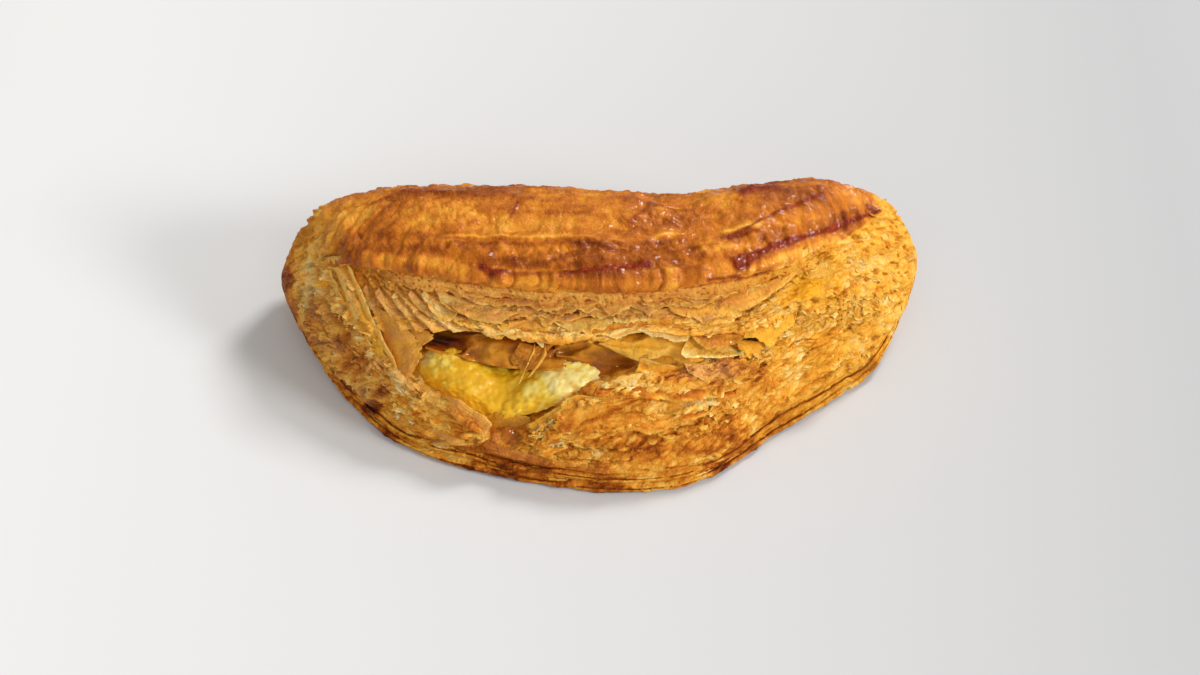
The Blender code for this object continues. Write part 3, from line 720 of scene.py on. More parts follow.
def makeTopCrust(s):
    x = stationsAlong(s["stations"], 0.25)
    shown = placesAlong(s["from"], s["crown"], s["spacing"])
    places = np.concatenate([shown[:-1], placesAlong(s["crown"], s["to"], s["backSpacing"])])
    smooth = closedUnderLip(x, places, pieGrid(x, places))
    normals = gridNormals(smooth)
    px, py = seenAt(smooth)
    xx, yy, zz = (smooth[..., k] for k in range(3))
    place = places[None, :] + 0 * xx
    forms = topForms(s, smooth, normals, place)
    calm = 1 - 0.5 * smoothStep(18.8, 19.6, place)
    height = blend(forms, s["relief"]) + calm * blend(forms, s["skinRelief"])
    # the ends and the sides that the egg wash missed are coarse and dull
    edge = 72 + 5 * softNoise(yy / 7, zz / 7, 0, 14, 3)
    missed = np.interp(px, *s["washedTo"]) + 4 * forms["patches"]
    washed = between(14.75, 15.15, 20.4, 21.4, place)
    washed = washed * (1 - smoothStep(-2, 3, py - missed))
    glaze = washed * (1 - smoothStep(edge - 2.5, edge + 1.5, np.abs(xx)))
    glaze = glaze * smoothStep(-0.7, 0.1, forms["skin"] + forms["patches"] + 0.4)
    dull = 1 - np.clip(washed * (1 - smoothStep(edge - 3.5, edge + 1.5, np.abs(xx))), 0, 1)
    endHeight, endBake, endPaintedShade, endDry = endRelief(xx, yy, zz)
    height = (1 - dull) * height + dull * endHeight - 0.4 * (1 - smoothStep(14.3, 14.55, place))
    outer = smooth + normals * (calmTips(xx) * height)[..., None]
    tones = nearSpots(px, py, s["browner"]) - nearSpots(px, py, s["paler"])
    bake = (1 - dull) * (blend(forms, s["bake"]) + forms["front"] * tones) + dull * endBake
    bake = bake + 0.1 * smoothStep(19.2, 21.0, place)
    scatter = 0.5 * dull * between(60, 66, 74, 82, np.abs(xx))
    scatter = scatter * (1 - 0.8 * smoothStep(40, 60, -xx)) * (1 - 0.5 * smoothStep(40, 60, xx))
    scatter = scatter * between(14.8, 15.2, 17, 17.6, place)
    # paintedShade: painted shade in the hollows of the coarse ends
    values = {"bake": bake, "glaze": glaze, "syrup": np.clip(forms["sticky"], 0, 1.3), "porous": dull,
              "paintedShade": dull * endPaintedShade, "butter": 0.3 * dull * smoothStep(30, 60, xx),
              "dry": np.clip(dull * endDry, 0, 1), "scatter": scatter}
    inner = innerSkin(smooth, normals, s["shell"], 7)
    return closedShell("glazedTopCrust", outer, inner, values), outer, normals, values


print("the torn side, its layers and the rim")

tornSide = {
    # each shell: the places round the section where it starts and ends, and its stations
    "lowerCrustAndRim": (-0.65, 10.6, 384),
    "upperTornLayers": (10.3, 14.75, 480),
    "spacing": 0.33,
    "underSpacing": 2.4,
    # the thickness of the wall and of the rim
    "shell": 2.6,
    "rimShell": 1.5,
    # the notch's channel: places round the section and how far across it each lies
    "notch": ((7, 8, 9, 9.55), (0, 0.16, 0.42, 1)),
    # how high each form stands on the wall, on the fan at the left and on the rim, in mm
    "relief": {"level": -0.5, "coarse": 0.6, "lumps": 0.6, "mid": 0.45, "fine": 0.13, "layers": 1.3,
               "thinLayers": 0.5, "crumbly": -0.1, "domes": 0.95, "smallDomes": 0.22, "pits": -0.45},
    "fanRelief": {"level": -0.6, "folds": 1.2, "strands": 0.14},
    "rimRelief": {"level": -0.35, "lumps": 0.3, "mid": 0.2, "fine": 0.2, "rimLayers": 0.5, "rimCracks": -0.8},
    # how much browner each form makes its place; browner under the layers' edges and in the pits is
    # painted shade
    "bake": {"level": 0.36, "lumps": 0.1, "mid": 0.08, "fine": 0.02, "right": -0.08, "layerTone": 0.06,
             "freeEdges": -0.14, "underEdges": 0.14, "crumbly": 0.11, "crumblyLumps": 0.05,
             "crumblyMid": 0.06, "smallTone": 0.03, "domes": -0.27, "pits": 0.18, "lowerWall": 0.05},
    "fanBake": {"level": 0.39, "mid": 0.05, "strands": 0.05, "foldTone": 0.06, "foldEdges": -0.16,
                "foldShade": 0.18},
    "rimBake": {"level": 0.04, "lumps": 0.08, "rimTone": 0.06, "rimShade": 0.26},
    # browner and paler places, as ovals of the photograph's pixels; the one at 440, 341 is painted
    # shade in a deep hole under the fan
    "browner": [
        (373, 407, 9, 7, 30, 0.6), (383, 390, 5, 9, 60, 0.35), (350, 372, 22, 10, 50, 0.08),
        (440, 341, 16, 7, 0, 0.7), (413, 333, 3, 2.5, 0, 0.4),
        (398, 436, 30, 7, 35, 0.06), (440, 460, 40, 6, 18, 0.04), (500, 474, 50, 5, 10, 0.03),
        (600, 418, 40, 10, -10, 0.1), (690, 372, 30, 12, 0, 0.1), (700, 336, 26, 6, 10, 0.18),
        (520, 440, 30, 12, 15, 0.1), (640, 455, 60, 10, 0, 0.05), (560, 470, 70, 7, 5, 0.05),
        (640, 305, 60, 10, -5, 0.1), (560, 306, 60, 8, 0, 0.12), (500, 300, 30, 8, 10, 0.1),
        (740, 300, 40, 7, -18, 0.16), (760, 420, 20, 8, -50, 0.08), (480, 448, 40, 8, 20, 0.12),
    ],
    "paler": [
        (450, 320, 30, 18, 30, 0.16), (405, 360, 14, 24, 0, 0.2), (540, 332, 70, 7, 0, 0.2),
        (640, 334, 70, 6, 0, 0.18), (700, 352, 26, 8, 0, 0.2), (640, 385, 50, 8, 0, 0.12),
        (800, 294, 40, 20, -20, 0.1), (770, 336, 16, 10, -20, 0.08), (740, 330, 40, 12, -15, 0.03),
        (440, 385, 40, 12, 30, 0.14), (440, 415, 40, 18, 25, 0.08), (690, 392, 40, 12, 0, 0.1),
        (600, 462, 80, 12, 0, 0.08), (780, 350, 40, 30, 0, 0.05), (610, 300, 30, 6, 0, 0.06),
        (860, 300, 40, 60, 0, 0.03),
    ],
    # lumps and hollows at the left end, in mm
    "raised": [(324, 318, 16, 15, 30, 2.0), (355, 357, 14, 11, 40, -2.2), (346, 336, 9, 5, 0, -1.2),
               (306, 268, 10, 24, 10, 0.8), (338, 284, 6, 16, -20, -0.8)],
    # where amber juice ran into the notch and over the lower crust
    "juicy": [
        (504, 430, 17, 24, 0, 1.6), (492, 440, 10, 8, 20, 0.7), (538, 416, 24, 7, -40, 1.1),
        (560, 462, 60, 7, 10, 0.35), (600, 415, 26, 6, -20, 0.4), (520, 455, 20, 6, 10, 0.5),
    ],
    # its drops, in mm
    "drops": [(507, 433, 6, 6, 0, 1.1), (494, 437, 5, 5, 20, 0.9), (514, 441, 4, 5, 0, 0.6)],
    # strands of dough drawn out down the left of the tear: line, width, height in mm and paleness
    "strands": [
        ([(332, 256), (348, 282), (362, 312), (384, 348), (404, 388)], 5.0, 1.2, 0.17),
        ([(318, 258), (336, 290), (350, 322), (370, 354), (394, 394)], 4.0, 0.9, 0.11),
        ([(302, 246), (314, 274), (328, 302), (338, 330)], 5.0, 0.8, 0.11),
        ([(372, 322), (388, 346), (402, 370), (412, 388)], 4.0, 0.6, 0.1),
        ([(300, 282), (312, 306), (330, 336)], 4.0, 0.7, 0.06),
    ],
    # where the dough is drawn out thin and dried, pinkish tan
    "dried": [
        (430, 316, 60, 26, 25, 0.75), (560, 312, 90, 16, 0, 0.6), (650, 312, 60, 14, 0, 0.5),
        (712, 371, 30, 10, 0, 0.8), (405, 362, 14, 24, 0, 0.5), (440, 395, 44, 14, 25, 0.45),
        (310, 300, 26, 60, 10, 0.3), (560, 332, 90, 7, 0, 0.3), (350, 372, 30, 20, 50, 0.25),
    ],
    "buttery": [
        (324, 284, 7, 5, 0, 0.8), (377, 343, 6, 10, -30, 0.9), (366, 318, 4, 14, -30, 0.7),
        (445, 335, 20, 7, 0, 0.4), (805, 288, 34, 20, -20, 0.8), (560, 352, 60, 8, 0, 0.4),
        (440, 372, 40, 14, 20, 0.4), (700, 345, 30, 8, 0, 0.3), (640, 352, 60, 6, 0, 0.4),
        (365, 320, 6, 20, -30, 0.2),
    ],
}


def upTheWall(xx, oblique, place):
    # how far up the wall each point lies, in millimetres as seen: measured from the rim low down, and
    # from the lip high up
    inner = innerX(xx)
    up = np.clip((place - wallStart) / (lipStart - wallStart), 0, 1)
    fromRim = oblique - curveThrough(form["rim"], inner) - form["rimTop"]
    fromLip = oblique - curveThrough(form["lip"], inner) - curveThrough(form["lipHeight"], inner) + 62
    return 0.85 * ((1 - up) * fromRim + up * fromLip)


def tornForms(smooth, place, upper):
    # the forms that the torn side is blended from
    xx, yy, zz = (smooth[..., k] for k in range(3))
    oblique = yy + zz
    over = upTheWall(xx, oblique, place)
    coarse = softNoise(xx / 20, yy / 14, zz / 14, 41, 2)
    lumps = softNoise(xx / 8, yy / 6, zz / 6, 42, 2)
    mid = softNoise(xx / 3.6, oblique / 3.0, zz / 9, 46, 2)
    fine = softNoise(xx / 1.5, oblique / 1.1, zz / 6, 43, 2)
    # torn layers that come and go, soft blisters between them, and pits
    step, stepOwn = leaves(xx, over, 4.6, 51, 1.5, 0.2, 18.0)
    present = smoothStep(-0.25, 0.5, softNoise(xx / 13, over / 6, 0, 52, 2))
    thin, _ = leaves(xx, over, 1.7, 57, 1.0, 0.3, 9.0)
    thinHere = smoothStep(0.0, 0.6, softNoise(xx / 9, over / 4, 0, 58, 2))
    warp = 0.35 * mid + 0.25 * fine
    blister, blisterEdge, _, _ = flakeCells(xx / 2.9 + warp, over / 2.3 + warp, 71)
    small, smallEdge, _, _ = flakeCells(xx / 1.3 + warp, over / 1.1 + warp, 72)
    pit, pitEdge, _, _ = flakeCells(xx / 2.4 + 1.5 * warp, over / 1.6 + 1.5 * warp, 73)
    crumbly = np.clip(smoothStep(22, 46, xx) + (1 - upper) * 0.8 + smoothStep(50, 62, -xx), 0, 1)
    pits = smoothStep(0.55, 0.9, pit) * smoothStep(0.03, 0.25, pitEdge) * crumbly
    # the fan: layers drawn out round its centre, in strands
    away, around, inFan = roundFan(*seenAt(smooth))
    fold, foldOwn = leaves(around, -away, 3.1, 61, 0.9, 0.1, 20.0)
    # the rim: thin hard layers with cracks between them, which painted shade darkens
    edge, edgeOwn = leaves(xx, 1.7 * place, 1.7, 81, 0.7, 0.12, 24.0)
    edge = np.where(place < 0.5, 0.2, edge)
    return {
        "level": 1.0, "coarse": coarse, "lumps": lumps, "mid": mid, "fine": fine, "present": present,
        "layers": present * (1 - step) ** 1.5, "thinLayers": thinHere * (1 - thin),
        "layerTone": stepOwn * present, "crumbly": crumbly, "pits": pits * crumbly, "allPits": pits,
        "domes": crumbly * smoothStep(0.0, 0.5, blisterEdge) * (0.6 + 0.4 * blister),
        "smallDomes": crumbly * smoothStep(0, 0.4, smallEdge), "smallTone": crumbly * small,
        "crumblyLumps": crumbly * lumps, "crumblyMid": crumbly * mid, "right": smoothStep(25, 60, xx),
        "freeEdges": np.maximum(present * np.exp(-step / 0.1), 0.6 * thinHere * np.exp(-thin / 0.16)),
        # painted shade under the edges of the layers above
        "underEdges": np.maximum(present * smoothStep(0.84, 1.0, step),
                                 0.5 * thinHere * smoothStep(0.8, 1, thin)),
        "inFan": inFan * smoothStep(10.4, 11.4, place), "folds": (1 - fold) ** 1.2, "foldTone": foldOwn,
        "foldEdges": np.exp(-fold / 0.12), "foldShade": smoothStep(0.76, 1, fold),
        "strands": softNoise(around / 9, away / 0.5, 0, 62, 2),
        "rimLayers": (1 - edge) ** 0.6, "rimCracks": smoothStep(0.72, 0.92, edge),
        "rimTone": edgeOwn, "rimShade": smoothStep(0.7, 1.0, edge),
    }


def ledgeRelief(xx, oblique, lumps):
    # the rounded edge of each ledge, with a crease under it
    height = np.zeros(xx.shape)
    for line, out in form["ledges"]:
        above = (oblique - curveThrough(line, xx) - 0.8 * lumps) / 2.2
        start, end = line[0][0], line[-1][0]
        reach = between(start - 4, start + 6, end - 6, end + 4, xx)
        height = height + out * reach * (np.exp(-(above - 1) ** 2) - np.exp(-(above / 0.45) ** 2))
    return height


def withNotch(s, x, places, smooth, juice):
    # the notch is a channel without the lower crust's rounded edge, where the juice ran
    stops, shares = s["notch"]
    foot, bed = pieGrid(x, np.array(stops[:1])), pieGrid(x, np.array(stops[-1:]))
    share = np.interp(places, stops, shares)[:, None]
    channel = foot + (bed - foot) * share + np.array([0.0, 0.0, 1.5]) * np.sin(math.pi * share)
    within = between(6.9, 7.4, 9.45, 9.6, places)
    return smooth + (channel - smooth) * (juice * within)[..., None]


def makeTornSide(s, name):
    first, last, stations = s[name]
    x = stationsAlong(stations)
    places = placesAlong(max(first, 0), last, s["spacing"])
    if first < 0:
        places = np.concatenate([placesAlong(first, 0, s["underSpacing"])[:-1], places])
    smooth = closedUnderLip(x, places, pieGrid(x, places))
    px, py = seenAt(smooth)
    xx, yy, zz = (smooth[..., k] for k in range(3))
    place = places[None, :] + 0 * xx
    onWall = between(5.6, 6.4, 13.9, 14.5, place)
    onRim = (1 - onWall) * between(0.6, 1.2, 6.4, 7.6, place)
    opened = smoothStep(1, 8, curveThrough(form["tearDepth"], innerX(xx)))
    inMouth = between(9.1, 9.7, 11.5, 12.1, place) * opened
    upper = smoothStep(11.2, 12.2, place)
    forms = tornForms(smooth, place, upper)
    forms["lowerWall"] = (1 - upper) * (1 - inMouth)
    lumps, mid, inFan = forms["lumps"], forms["mid"], forms["inFan"]
    height = (1 - 0.6 * inFan) * blend(forms, s["relief"]) + inFan * blend(forms, s["fanRelief"])
    height = (height + ledgeRelief(xx, yy + zz, lumps)) * (1 - 0.45 * inMouth)
    height = onWall * height + onRim * blend(forms, s["rimRelief"])
    # the coarse ends
    endHeight, endBake, endPaintedShade, endDry = endRelief(xx, yy, zz)
    end = smoothStep(60, 70, np.abs(xx) + 3 * lumps + 10 * smoothStep(0, 30, -xx))
    end = end * smoothStep(4.6, 6.2, place) * (1 - inFan)
    height = (1 - end) * height + end * endHeight
    height = height + nearSpots(px, py, s["raised"]) - 0.4 * smoothStep(14.58, 14.75, place)
    pale = np.zeros(xx.shape)
    for line, width, raised, paleness in s["strands"]:
        near = nearLine(px, py, line, width * (1 + 0.4 * mid)) * smoothStep(4.6, 6.2, place) * (1 - inMouth)
        height = height + raised * near
        pale = np.maximum(pale, paleness * near)
    juice = np.clip(nearSpots(px, py, s["juicy"]) * (1 + 0.5 * mid), 0, 1)
    height = height * (1 - 0.8 * juice) - 0.5 * juice * smoothStep(9.4, 9.6, place)
    smooth = withNotch(s, x, places, smooth, juice)
    normals = gridNormals(smooth)
    height = height + nearSpots(*seenAt(smooth), s["drops"])
    outer = smooth + normals * (calmTips(xx) * height)[..., None]
    # how baked each place is
    bake = (1 - inFan) * blend(forms, s["bake"]) + inFan * blend(forms, s["fanBake"])
    bake = bake + onRim * blend(forms, s["rimBake"])
    bake = bake + 0.08 * smoothStep(13.0, 13.8, place) + 0.12 * (1 - smoothStep(0.3, 1.6, place))
    bake = (1 - end) * (bake + nearSpots(px, py, ends["tones"])) + end * endBake
    bake = bake + nearSpots(px, py, s["browner"]) - nearSpots(px, py, s["paler"]) - pale
    bake = (1 - juice) * bake + juice * (0.57 + 0.09 * mid + 0.05 * forms["fine"])
    butter = (1 - juice) * (nearSpots(px, py, s["buttery"]) + 0.55 * inMouth) + 0.3 * smoothStep(30, 60, xx)
    # painted shade under the layers' edges, in the pits, in the coarse ends' hollows and in the rim's cracks
    paintedShade = onWall * (0.6 * forms["underEdges"] + 0.25 * forms["allPits"]) * (1 - end) + end * endPaintedShade
    paintedShade = paintedShade + 0.9 * onRim * forms["rimCracks"]
    porous = end + 0.8 * forms["crumbly"] + smoothStep(12.9, 13.6, place) + 0.2
    dry = nearSpots(px, py, s["dried"]) * (0.8 + 0.4 * mid) + 2.5 * pale
    dry = np.clip(dry, 0, 1) * (1 - juice) * (1 - 0.7 * inMouth)
    scatter = onWall * (1 - inMouth) * (0.35 + 0.65 * forms["crumbly"]) * forms["present"] + 0.4 * end
    scatter = np.clip(scatter, 0, 1) * (1 - 0.6 * smoothStep(40, 56, xx)) * (1 - juice)
    scatter = scatter * (1 - smoothStep(72, 82, np.abs(xx))) * (1 - smoothStep(13.6, 14.2, place))
    scatter = scatter * (1 - 0.8 * smoothStep(52, 60, -xx))
    values = {"bake": bake, "paintedShade": np.clip(paintedShade, 0, 1), "butter": np.clip(butter, 0, 1),
              "moist": np.maximum(0.7 * inMouth, juice), "porous": np.clip(porous, 0, 1) * (1 - inMouth),
              "dry": np.clip(np.maximum(dry, end * endDry), 0, 1), "scatter": scatter}
    # the rim is too thin for the whole thickness
    thickness = s["rimShell"] + (s["shell"] - s["rimShell"]) * smoothStep(5.5, 8.0, places)
    back = innerSkin(smooth, normals, thickness, 7)
    return closedShell(name, outer, back, values), outer, normals, values


print("the porous cut edge under the lip")

lipBand = {
    "stations": 480,
    "columns": 22,
    # the share of the pie's length that it takes up, how far its upper edge lies behind and below
    # the lip, where on the wall its foot is and how far out, how much it bows, and its thickness
    "reach": 0.82,
    "nose": (0.3, 0.42),
    "foot": (0.93, -0.5),
    "bow": 0.1,
    "thickness": 0.6,
    # how high each form stands, in mm, and how much browner it makes its place; browner just under
    # the lip and in the holes is painted shade
    "relief": {"wave": 0.35, "under": -0.6, "fine": 0.14, "holes": -0.6, "layers": 0.35},
    "bake": {"level": 0.42, "wave": 0.05, "fine": 0.04, "layerTone": 0.05, "holes": 0.3, "foot": -0.1,
             "freeEdges": -0.08, "under": 0.24, "left": 0.05, "right": -0.1},
}


def makeLipBand(s):
    x = s["reach"] * stationsAlong(s["stations"])[:, None]
    v = np.linspace(0, 1, s["columns"])[None, :]
    inner = innerX(x)
    undercut = curveThrough(form["undercut"], inner)
    nose = np.stack([curveThrough(form["lip"], inner) + s["nose"][0],
                     curveThrough(form["lipHeight"], inner) - s["nose"][1] * undercut], -1)
    share, out = s["foot"]
    ragged = 0.03 * softNoise(x / 3.0, 0, 0, 201, 3)
    foot = wallPoint(inner, share + ragged, out)
    run = foot - nose
    section = nose + run * v[..., None] - squareTo(run) * (s["bow"] * np.sin(math.pi * v))[..., None]
    smooth = drawnToEnds(x, section)
    normals = frontNormals(smooth)
    xx, down = x + 0 * v, v * 3.4 + 0 * x
    wave = softNoise(xx / 6, down / 3, 0, 202, 2)
    warp = 0.3 * softNoise(xx / 1.5, down / 1.5, 0, 204, 2)
    pore, _, offX, offY = flakeCells(xx / 1.15 + warp, down / 0.95 + warp, 205)
    line, lineOwn = leaves(xx, down, 1.6, 206, 0.5, 0.1, 20.0)
    forms = {
        "level": 1.0, "wave": wave, "fine": softNoise(xx / 0.9, down / 0.7, 0, 203, 2),
        "holes": smoothStep(0.25, 0.7, pore) * np.exp(-((offX**2 + offY**2) / 0.05)),
        "under": 1 - smoothStep(0.04, 0.2, v), "foot": smoothStep(0.75, 1, v),
        "layers": (1 - line) * smoothStep(0.3, 0.6, v), "layerTone": lineOwn,
        "freeEdges": np.exp(-line / 0.12), "left": smoothStep(40, 75, -xx), "right": smoothStep(40, 60, xx),
    }
    sunk = 2.4 * smoothStep(52, 66, np.abs(xx) + 4 * wave)
    outer = smooth + normals * (blend(forms, s["relief"]) - sunk)[..., None]
    # painted shade in the holes
    values = {"bake": blend(forms, s["bake"]), "paintedShade": 0.6 * forms["holes"], "porous": 1.0,
              "butter": 0.3 * smoothStep(35, 60, xx), "dry": 0.45 * (1 - smoothStep(20, 50, xx))}
    back = (smooth - normals * (s["thickness"] + sunk)[..., None])[:, ::3]
    return closedShell("porousLipBand", outer, back, values)


print("torn leaves of dough that hang on the side")

tornLeaves = {
    "spacing": 0.36,
    # the ribbons of the fan, from the outermost: how many, and the way round, in degrees, where
    # the outermost and the innermost start and end
    "ribbons": 9,
    "starts": (27, 58),
    "ends": (44, 86),
    # each leaf: the line where it is attached and the line of its free edge, in pixels of the
    # photograph; how far both stand off the wall and how much it bows between them; thickness; how
    # baked, how buttery, how moist, how ragged and how dry it is
    "single": [
        # the broad pale sheet at the left of the tear
        ([(374, 306), (384, 340), (394, 370), (401, 390)], [(408, 316), (421, 342), (416, 366), (406, 390)],
         (-0.4, 0.8, 0.9), 0.5, 0.47, 0.3, 0.25, 0.35, 0.5),
        ([(390, 322), (398, 346), (400, 366)], [(426, 326), (430, 338), (420, 356)],
         (-0.2, 0.9, 0.5), 0.4, 0.48, 0.3, 0.2, 0.5, 0.4),
        # strands and torn skins at the left end, pale and yellow, brown where they baked
        ([(345, 262), (356, 292), (370, 328), (392, 366)], [(355, 268), (365, 296), (380, 330), (404, 370)],
         (-0.3, 1.0, 0.7), 0.5, 0.22, 0.3, 0.2, 0.2, 0.3),
        ([(330, 258), (342, 290), (354, 322), (366, 344)], [(340, 262), (350, 290), (362, 318), (376, 346)],
         (-0.3, 0.9, 0.6), 0.5, 0.26, 0.3, 0.2, 0.3, 0.4),
        ([(316, 252), (324, 276), (336, 300)], [(328, 256), (335, 276), (346, 296)],
         (-0.3, 0.9, 0.5), 0.4, 0.24, 0.4, 0.1, 0.4, 0.4),
        ([(368, 328), (372, 350), (384, 374)], [(384, 332), (389, 352), (398, 372)],
         (-0.2, 1.1, 0.4), 0.4, 0.22, 0.9, 0.3, 0.4, 0.0),
        # the smooth leaf under the lip on the right
        ([(664, 300), (712, 294), (756, 283), (800, 262)], [(676, 326), (722, 322), (764, 301), (802, 272)],
         (-0.8, 1.3, 0.8), 0.5, 0.38, 0.1, 0.0, 0.1, 0.3),
        # the layer over the right end of the tear, and the pale flake under it
        ([(676, 322), (708, 324), (746, 328)], [(678, 342), (706, 347), (744, 350)],
         (-0.8, 0.5, 0.2), 0.3, 0.46, 0.1, 0.5, 0.3, 0.1),
        ([(690, 336), (716, 340), (744, 346)], [(674, 364), (700, 359), (740, 362)],
         (-1.6, 0.3, -0.4), 0.22, 0.2, 0.25, 0.7, 0.1, 0.0),
        # the pale flake with the ragged tip, and the layers beside it
        ([(644, 374), (638, 385), (642, 396)], [(617, 368), (611, 384), (613, 399)],
         (-0.6, 0.5, 0.2), 0.25, 0.2, 0.1, 0.3, 0.9, 0.2),
        ([(684, 364), (708, 365), (744, 368)], [(690, 386), (716, 388), (746, 390)],
         (-0.5, 0.6, 0.5), 0.4, 0.36, 0.0, 0.0, 0.3, 0.9),
        # the web that hangs over the cheese
        ([(520, 342), (538, 346), (556, 343)], [(503, 364), (517, 382), (531, 366)],
         (-2.6, -3.4, 0.4), 0.3, 0.52, 0.2, 0.9, 0.5, 0.0),
        ([(545, 344), (540, 358), (527, 378)], [(549, 345), (543, 360), (530, 379)],
         (-2.2, -2.2, 0.3), 0.3, 0.3, 0.3, 0.9, 0.6, 0.0),
        ([(534, 344), (530, 356), (518, 384)], [(537, 345), (532, 358), (520, 385)],
         (-2.4, -2.4, 0.3), 0.3, 0.34, 0.3, 0.9, 0.6, 0.0),
        # amber juice that ran from the cheese down the notch
        ([(480, 431), (503, 437), (530, 427)], [(482, 413), (505, 411), (532, 406)],
         (-3.2, -3.1, -0.2), 0.3, 0.54, 0.45, 1.0, 0.3, 0.0),
        # crumb over the right end of the tear
        ([(740, 322), (764, 318), (796, 310)], [(742, 345), (768, 343), (796, 332)],
         (-0.6, 0.6, 0.5), 0.4, 0.34, 0.5, 0.0, 0.3, 0.0),
        ([(736, 340), (762, 340), (790, 334)], [(738, 360), (766, 359), (790, 350)],
         (-0.6, 0.5, 0.4), 0.4, 0.4, 0.4, 0.0, 0.3, 0.0),
        # the two lobes of crust beside the notch, with frayed edges
        ([(556, 462), (584, 440), (612, 420), (652, 404)], [(517, 450), (540, 430), (566, 406), (616, 381)],
         (-1.2, 1.3, 1.3), 0.8, 0.44, 0.0, 0.1, 0.3, 0.0),
        ([(430, 442), (432, 420), (440, 398)], [(487, 450), (485, 426), (478, 400)],
         (-1.0, 1.0, 0.8), 0.7, 0.36, 0.1, 0.2, 0.2, 0.45),
        # thick folds of the lower crust
        ([(548, 428), (600, 412), (654, 408), (712, 406)], [(546, 452), (598, 439), (654, 436), (708, 424)],
         (-1.2, 1.8, 1.2), 1.2, 0.42, 0.0, 0.1, 0.15, 0.0),
        ([(600, 390), (640, 384), (690, 386), (736, 390)], [(584, 404), (640, 402), (690, 404), (738, 404)],
         (-0.8, 1.5, 0.8), 1.0, 0.5, 0.0, 0.0, 0.2, 0.0),
    ],
    # painted shade of a deep hole in the skins under the fan
    "holeShade": [(442, 341, 15, 6, 5, 0.28)],
    # moist skins of dough inside the tear, drawn into soft folds: their upper and lower lines in
    # pixels, how far they stand off the wall at their left and right ends, how baked and buttery
    "membranes": [
        ([(552, 336), (600, 335), (650, 332), (700, 333), (748, 340)],
         [(560, 374), (604, 380), (650, 386), (700, 390), (748, 390)], (-5.0, -1.6), 0.77, 0.12),
        ([(612, 334), (644, 332), (676, 336), (712, 342)],
         [(598, 344), (634, 360), (668, 369), (706, 369)], (-3.0, -0.9), 0.36, 0.55),
        ([(640, 362), (668, 366), (700, 366), (730, 372)],
         [(628, 392), (660, 395), (700, 396), (734, 396)], (-1.4, -0.4), 0.42, 0.35),
        ([(416, 328), (464, 333), (514, 336), (566, 341)],
         [(424, 348), (466, 360), (514, 369), (566, 370)], (-3.4, -4.6), 0.77, 0.0),
    ],
    # rows of torn leaves under the lip: how far below it they start and end, in pixels
    "underLip": [(338, 268), (417, 279), (480, 293), (600, 295), (655, 289), (720, 285), (763, 275),
                 (807, 258), (850, 238)],
    # start, end, from and to along the photograph, out at the free edge, baked, buttery, dry
    "rows": [
        (4, 15, 430, 720, 1.2, 0.42, 0.0, 0.6), (10, 22, 440, 700, 1.5, 0.38, 0.0, 0.7),
        (18, 32, 436, 690, 1.7, 0.34, 0.0, 0.6), (27, 43, 452, 690, 1.9, 0.24, 0.1, 0.25),
        (34, 49, 470, 686, 1.5, 0.18, 0.2, 0.1), (8, 17, 715, 850, 0.9, 0.34, 0.1, 0.2),
    ],
}


def wallLeaf(attached, free, outs, thickness, looks, seed, spacing):
    # one thin torn leaf between two lines of pixels. outs: how far it stands off the wall at both
    # lines, and how much it bows between them. looks: how baked, buttery, moist, ragged and dry it is.
    baked, butter, moist, ragged, dry = looks
    length, width = sizeInMm(attached, free)
    u = np.linspace(0, 1, max(6, int(length / spacing)))[:, None]
    v = np.linspace(0, 1, max(5, int(width / spacing)))[None, :]
    tear = 1 + ragged * (softNoise(u * length / 4.0, 0, 0, seed, 4) - 0.2)
    tear = tear - 0.25 * ragged * np.abs(softNoise(u * length / 1.6, 0, 0, seed + 6, 2))
    tear = tear * (0.08 + 0.92 * np.sin(math.pi * u) ** 0.22)
    down = v * tear
    px, py = [a + (b - a) * down for a, b in zip(pixelsAlong(attached, u), pixelsAlong(free, u))]
    x, oblique = wallSeenAt(px, py)
    start, end, bow = outs
    crinkle = softNoise(x / 4.0, oblique / 3.0, 0, seed + 1, 2)
    grain = softNoise(x / 1.1, oblique / 1.0, 0, seed + 2, 2)
    streak = softNoise(u * length / 5.0, v * width / 0.7, 0, seed + 3, 2)
    out = (start + (end - start) * v**1.3 + bow * np.sin(math.pi * v)
           + (0.1 * streak + (0.55 * crinkle + 0.16 * grain) * (0.3 + v)) * (1 - 0.6 * moist))
    front = drawnToEnds(x, wallAt(innerX(x), oblique, out))
    normals = frontNormals(front)
    thin = thickness * (0.2 + 0.8 * np.cos(0.5 * math.pi * v))
    back = front - normals * thin[..., None]
    pale = np.exp(-(1 - v) * width / 0.9) * (0.7 + 0.5 * grain)
    bake = baked + 0.1 * crinkle + 0.05 * grain + 0.1 * streak + 0.05 * np.sin(math.pi * v)
    bake = bake + 0.12 * (1 - smoothStep(0, 0.3, v)) * (1 - moist) - 0.13 * np.clip(pale, 0, 1)
    values = {"bake": bake, "butter": butter, "moist": moist, "porous": 0.3,
              "dry": np.clip(dry * (1 + 0.5 * crinkle - 0.4 * pale), 0, 1)}
    return front[None], back[None], values


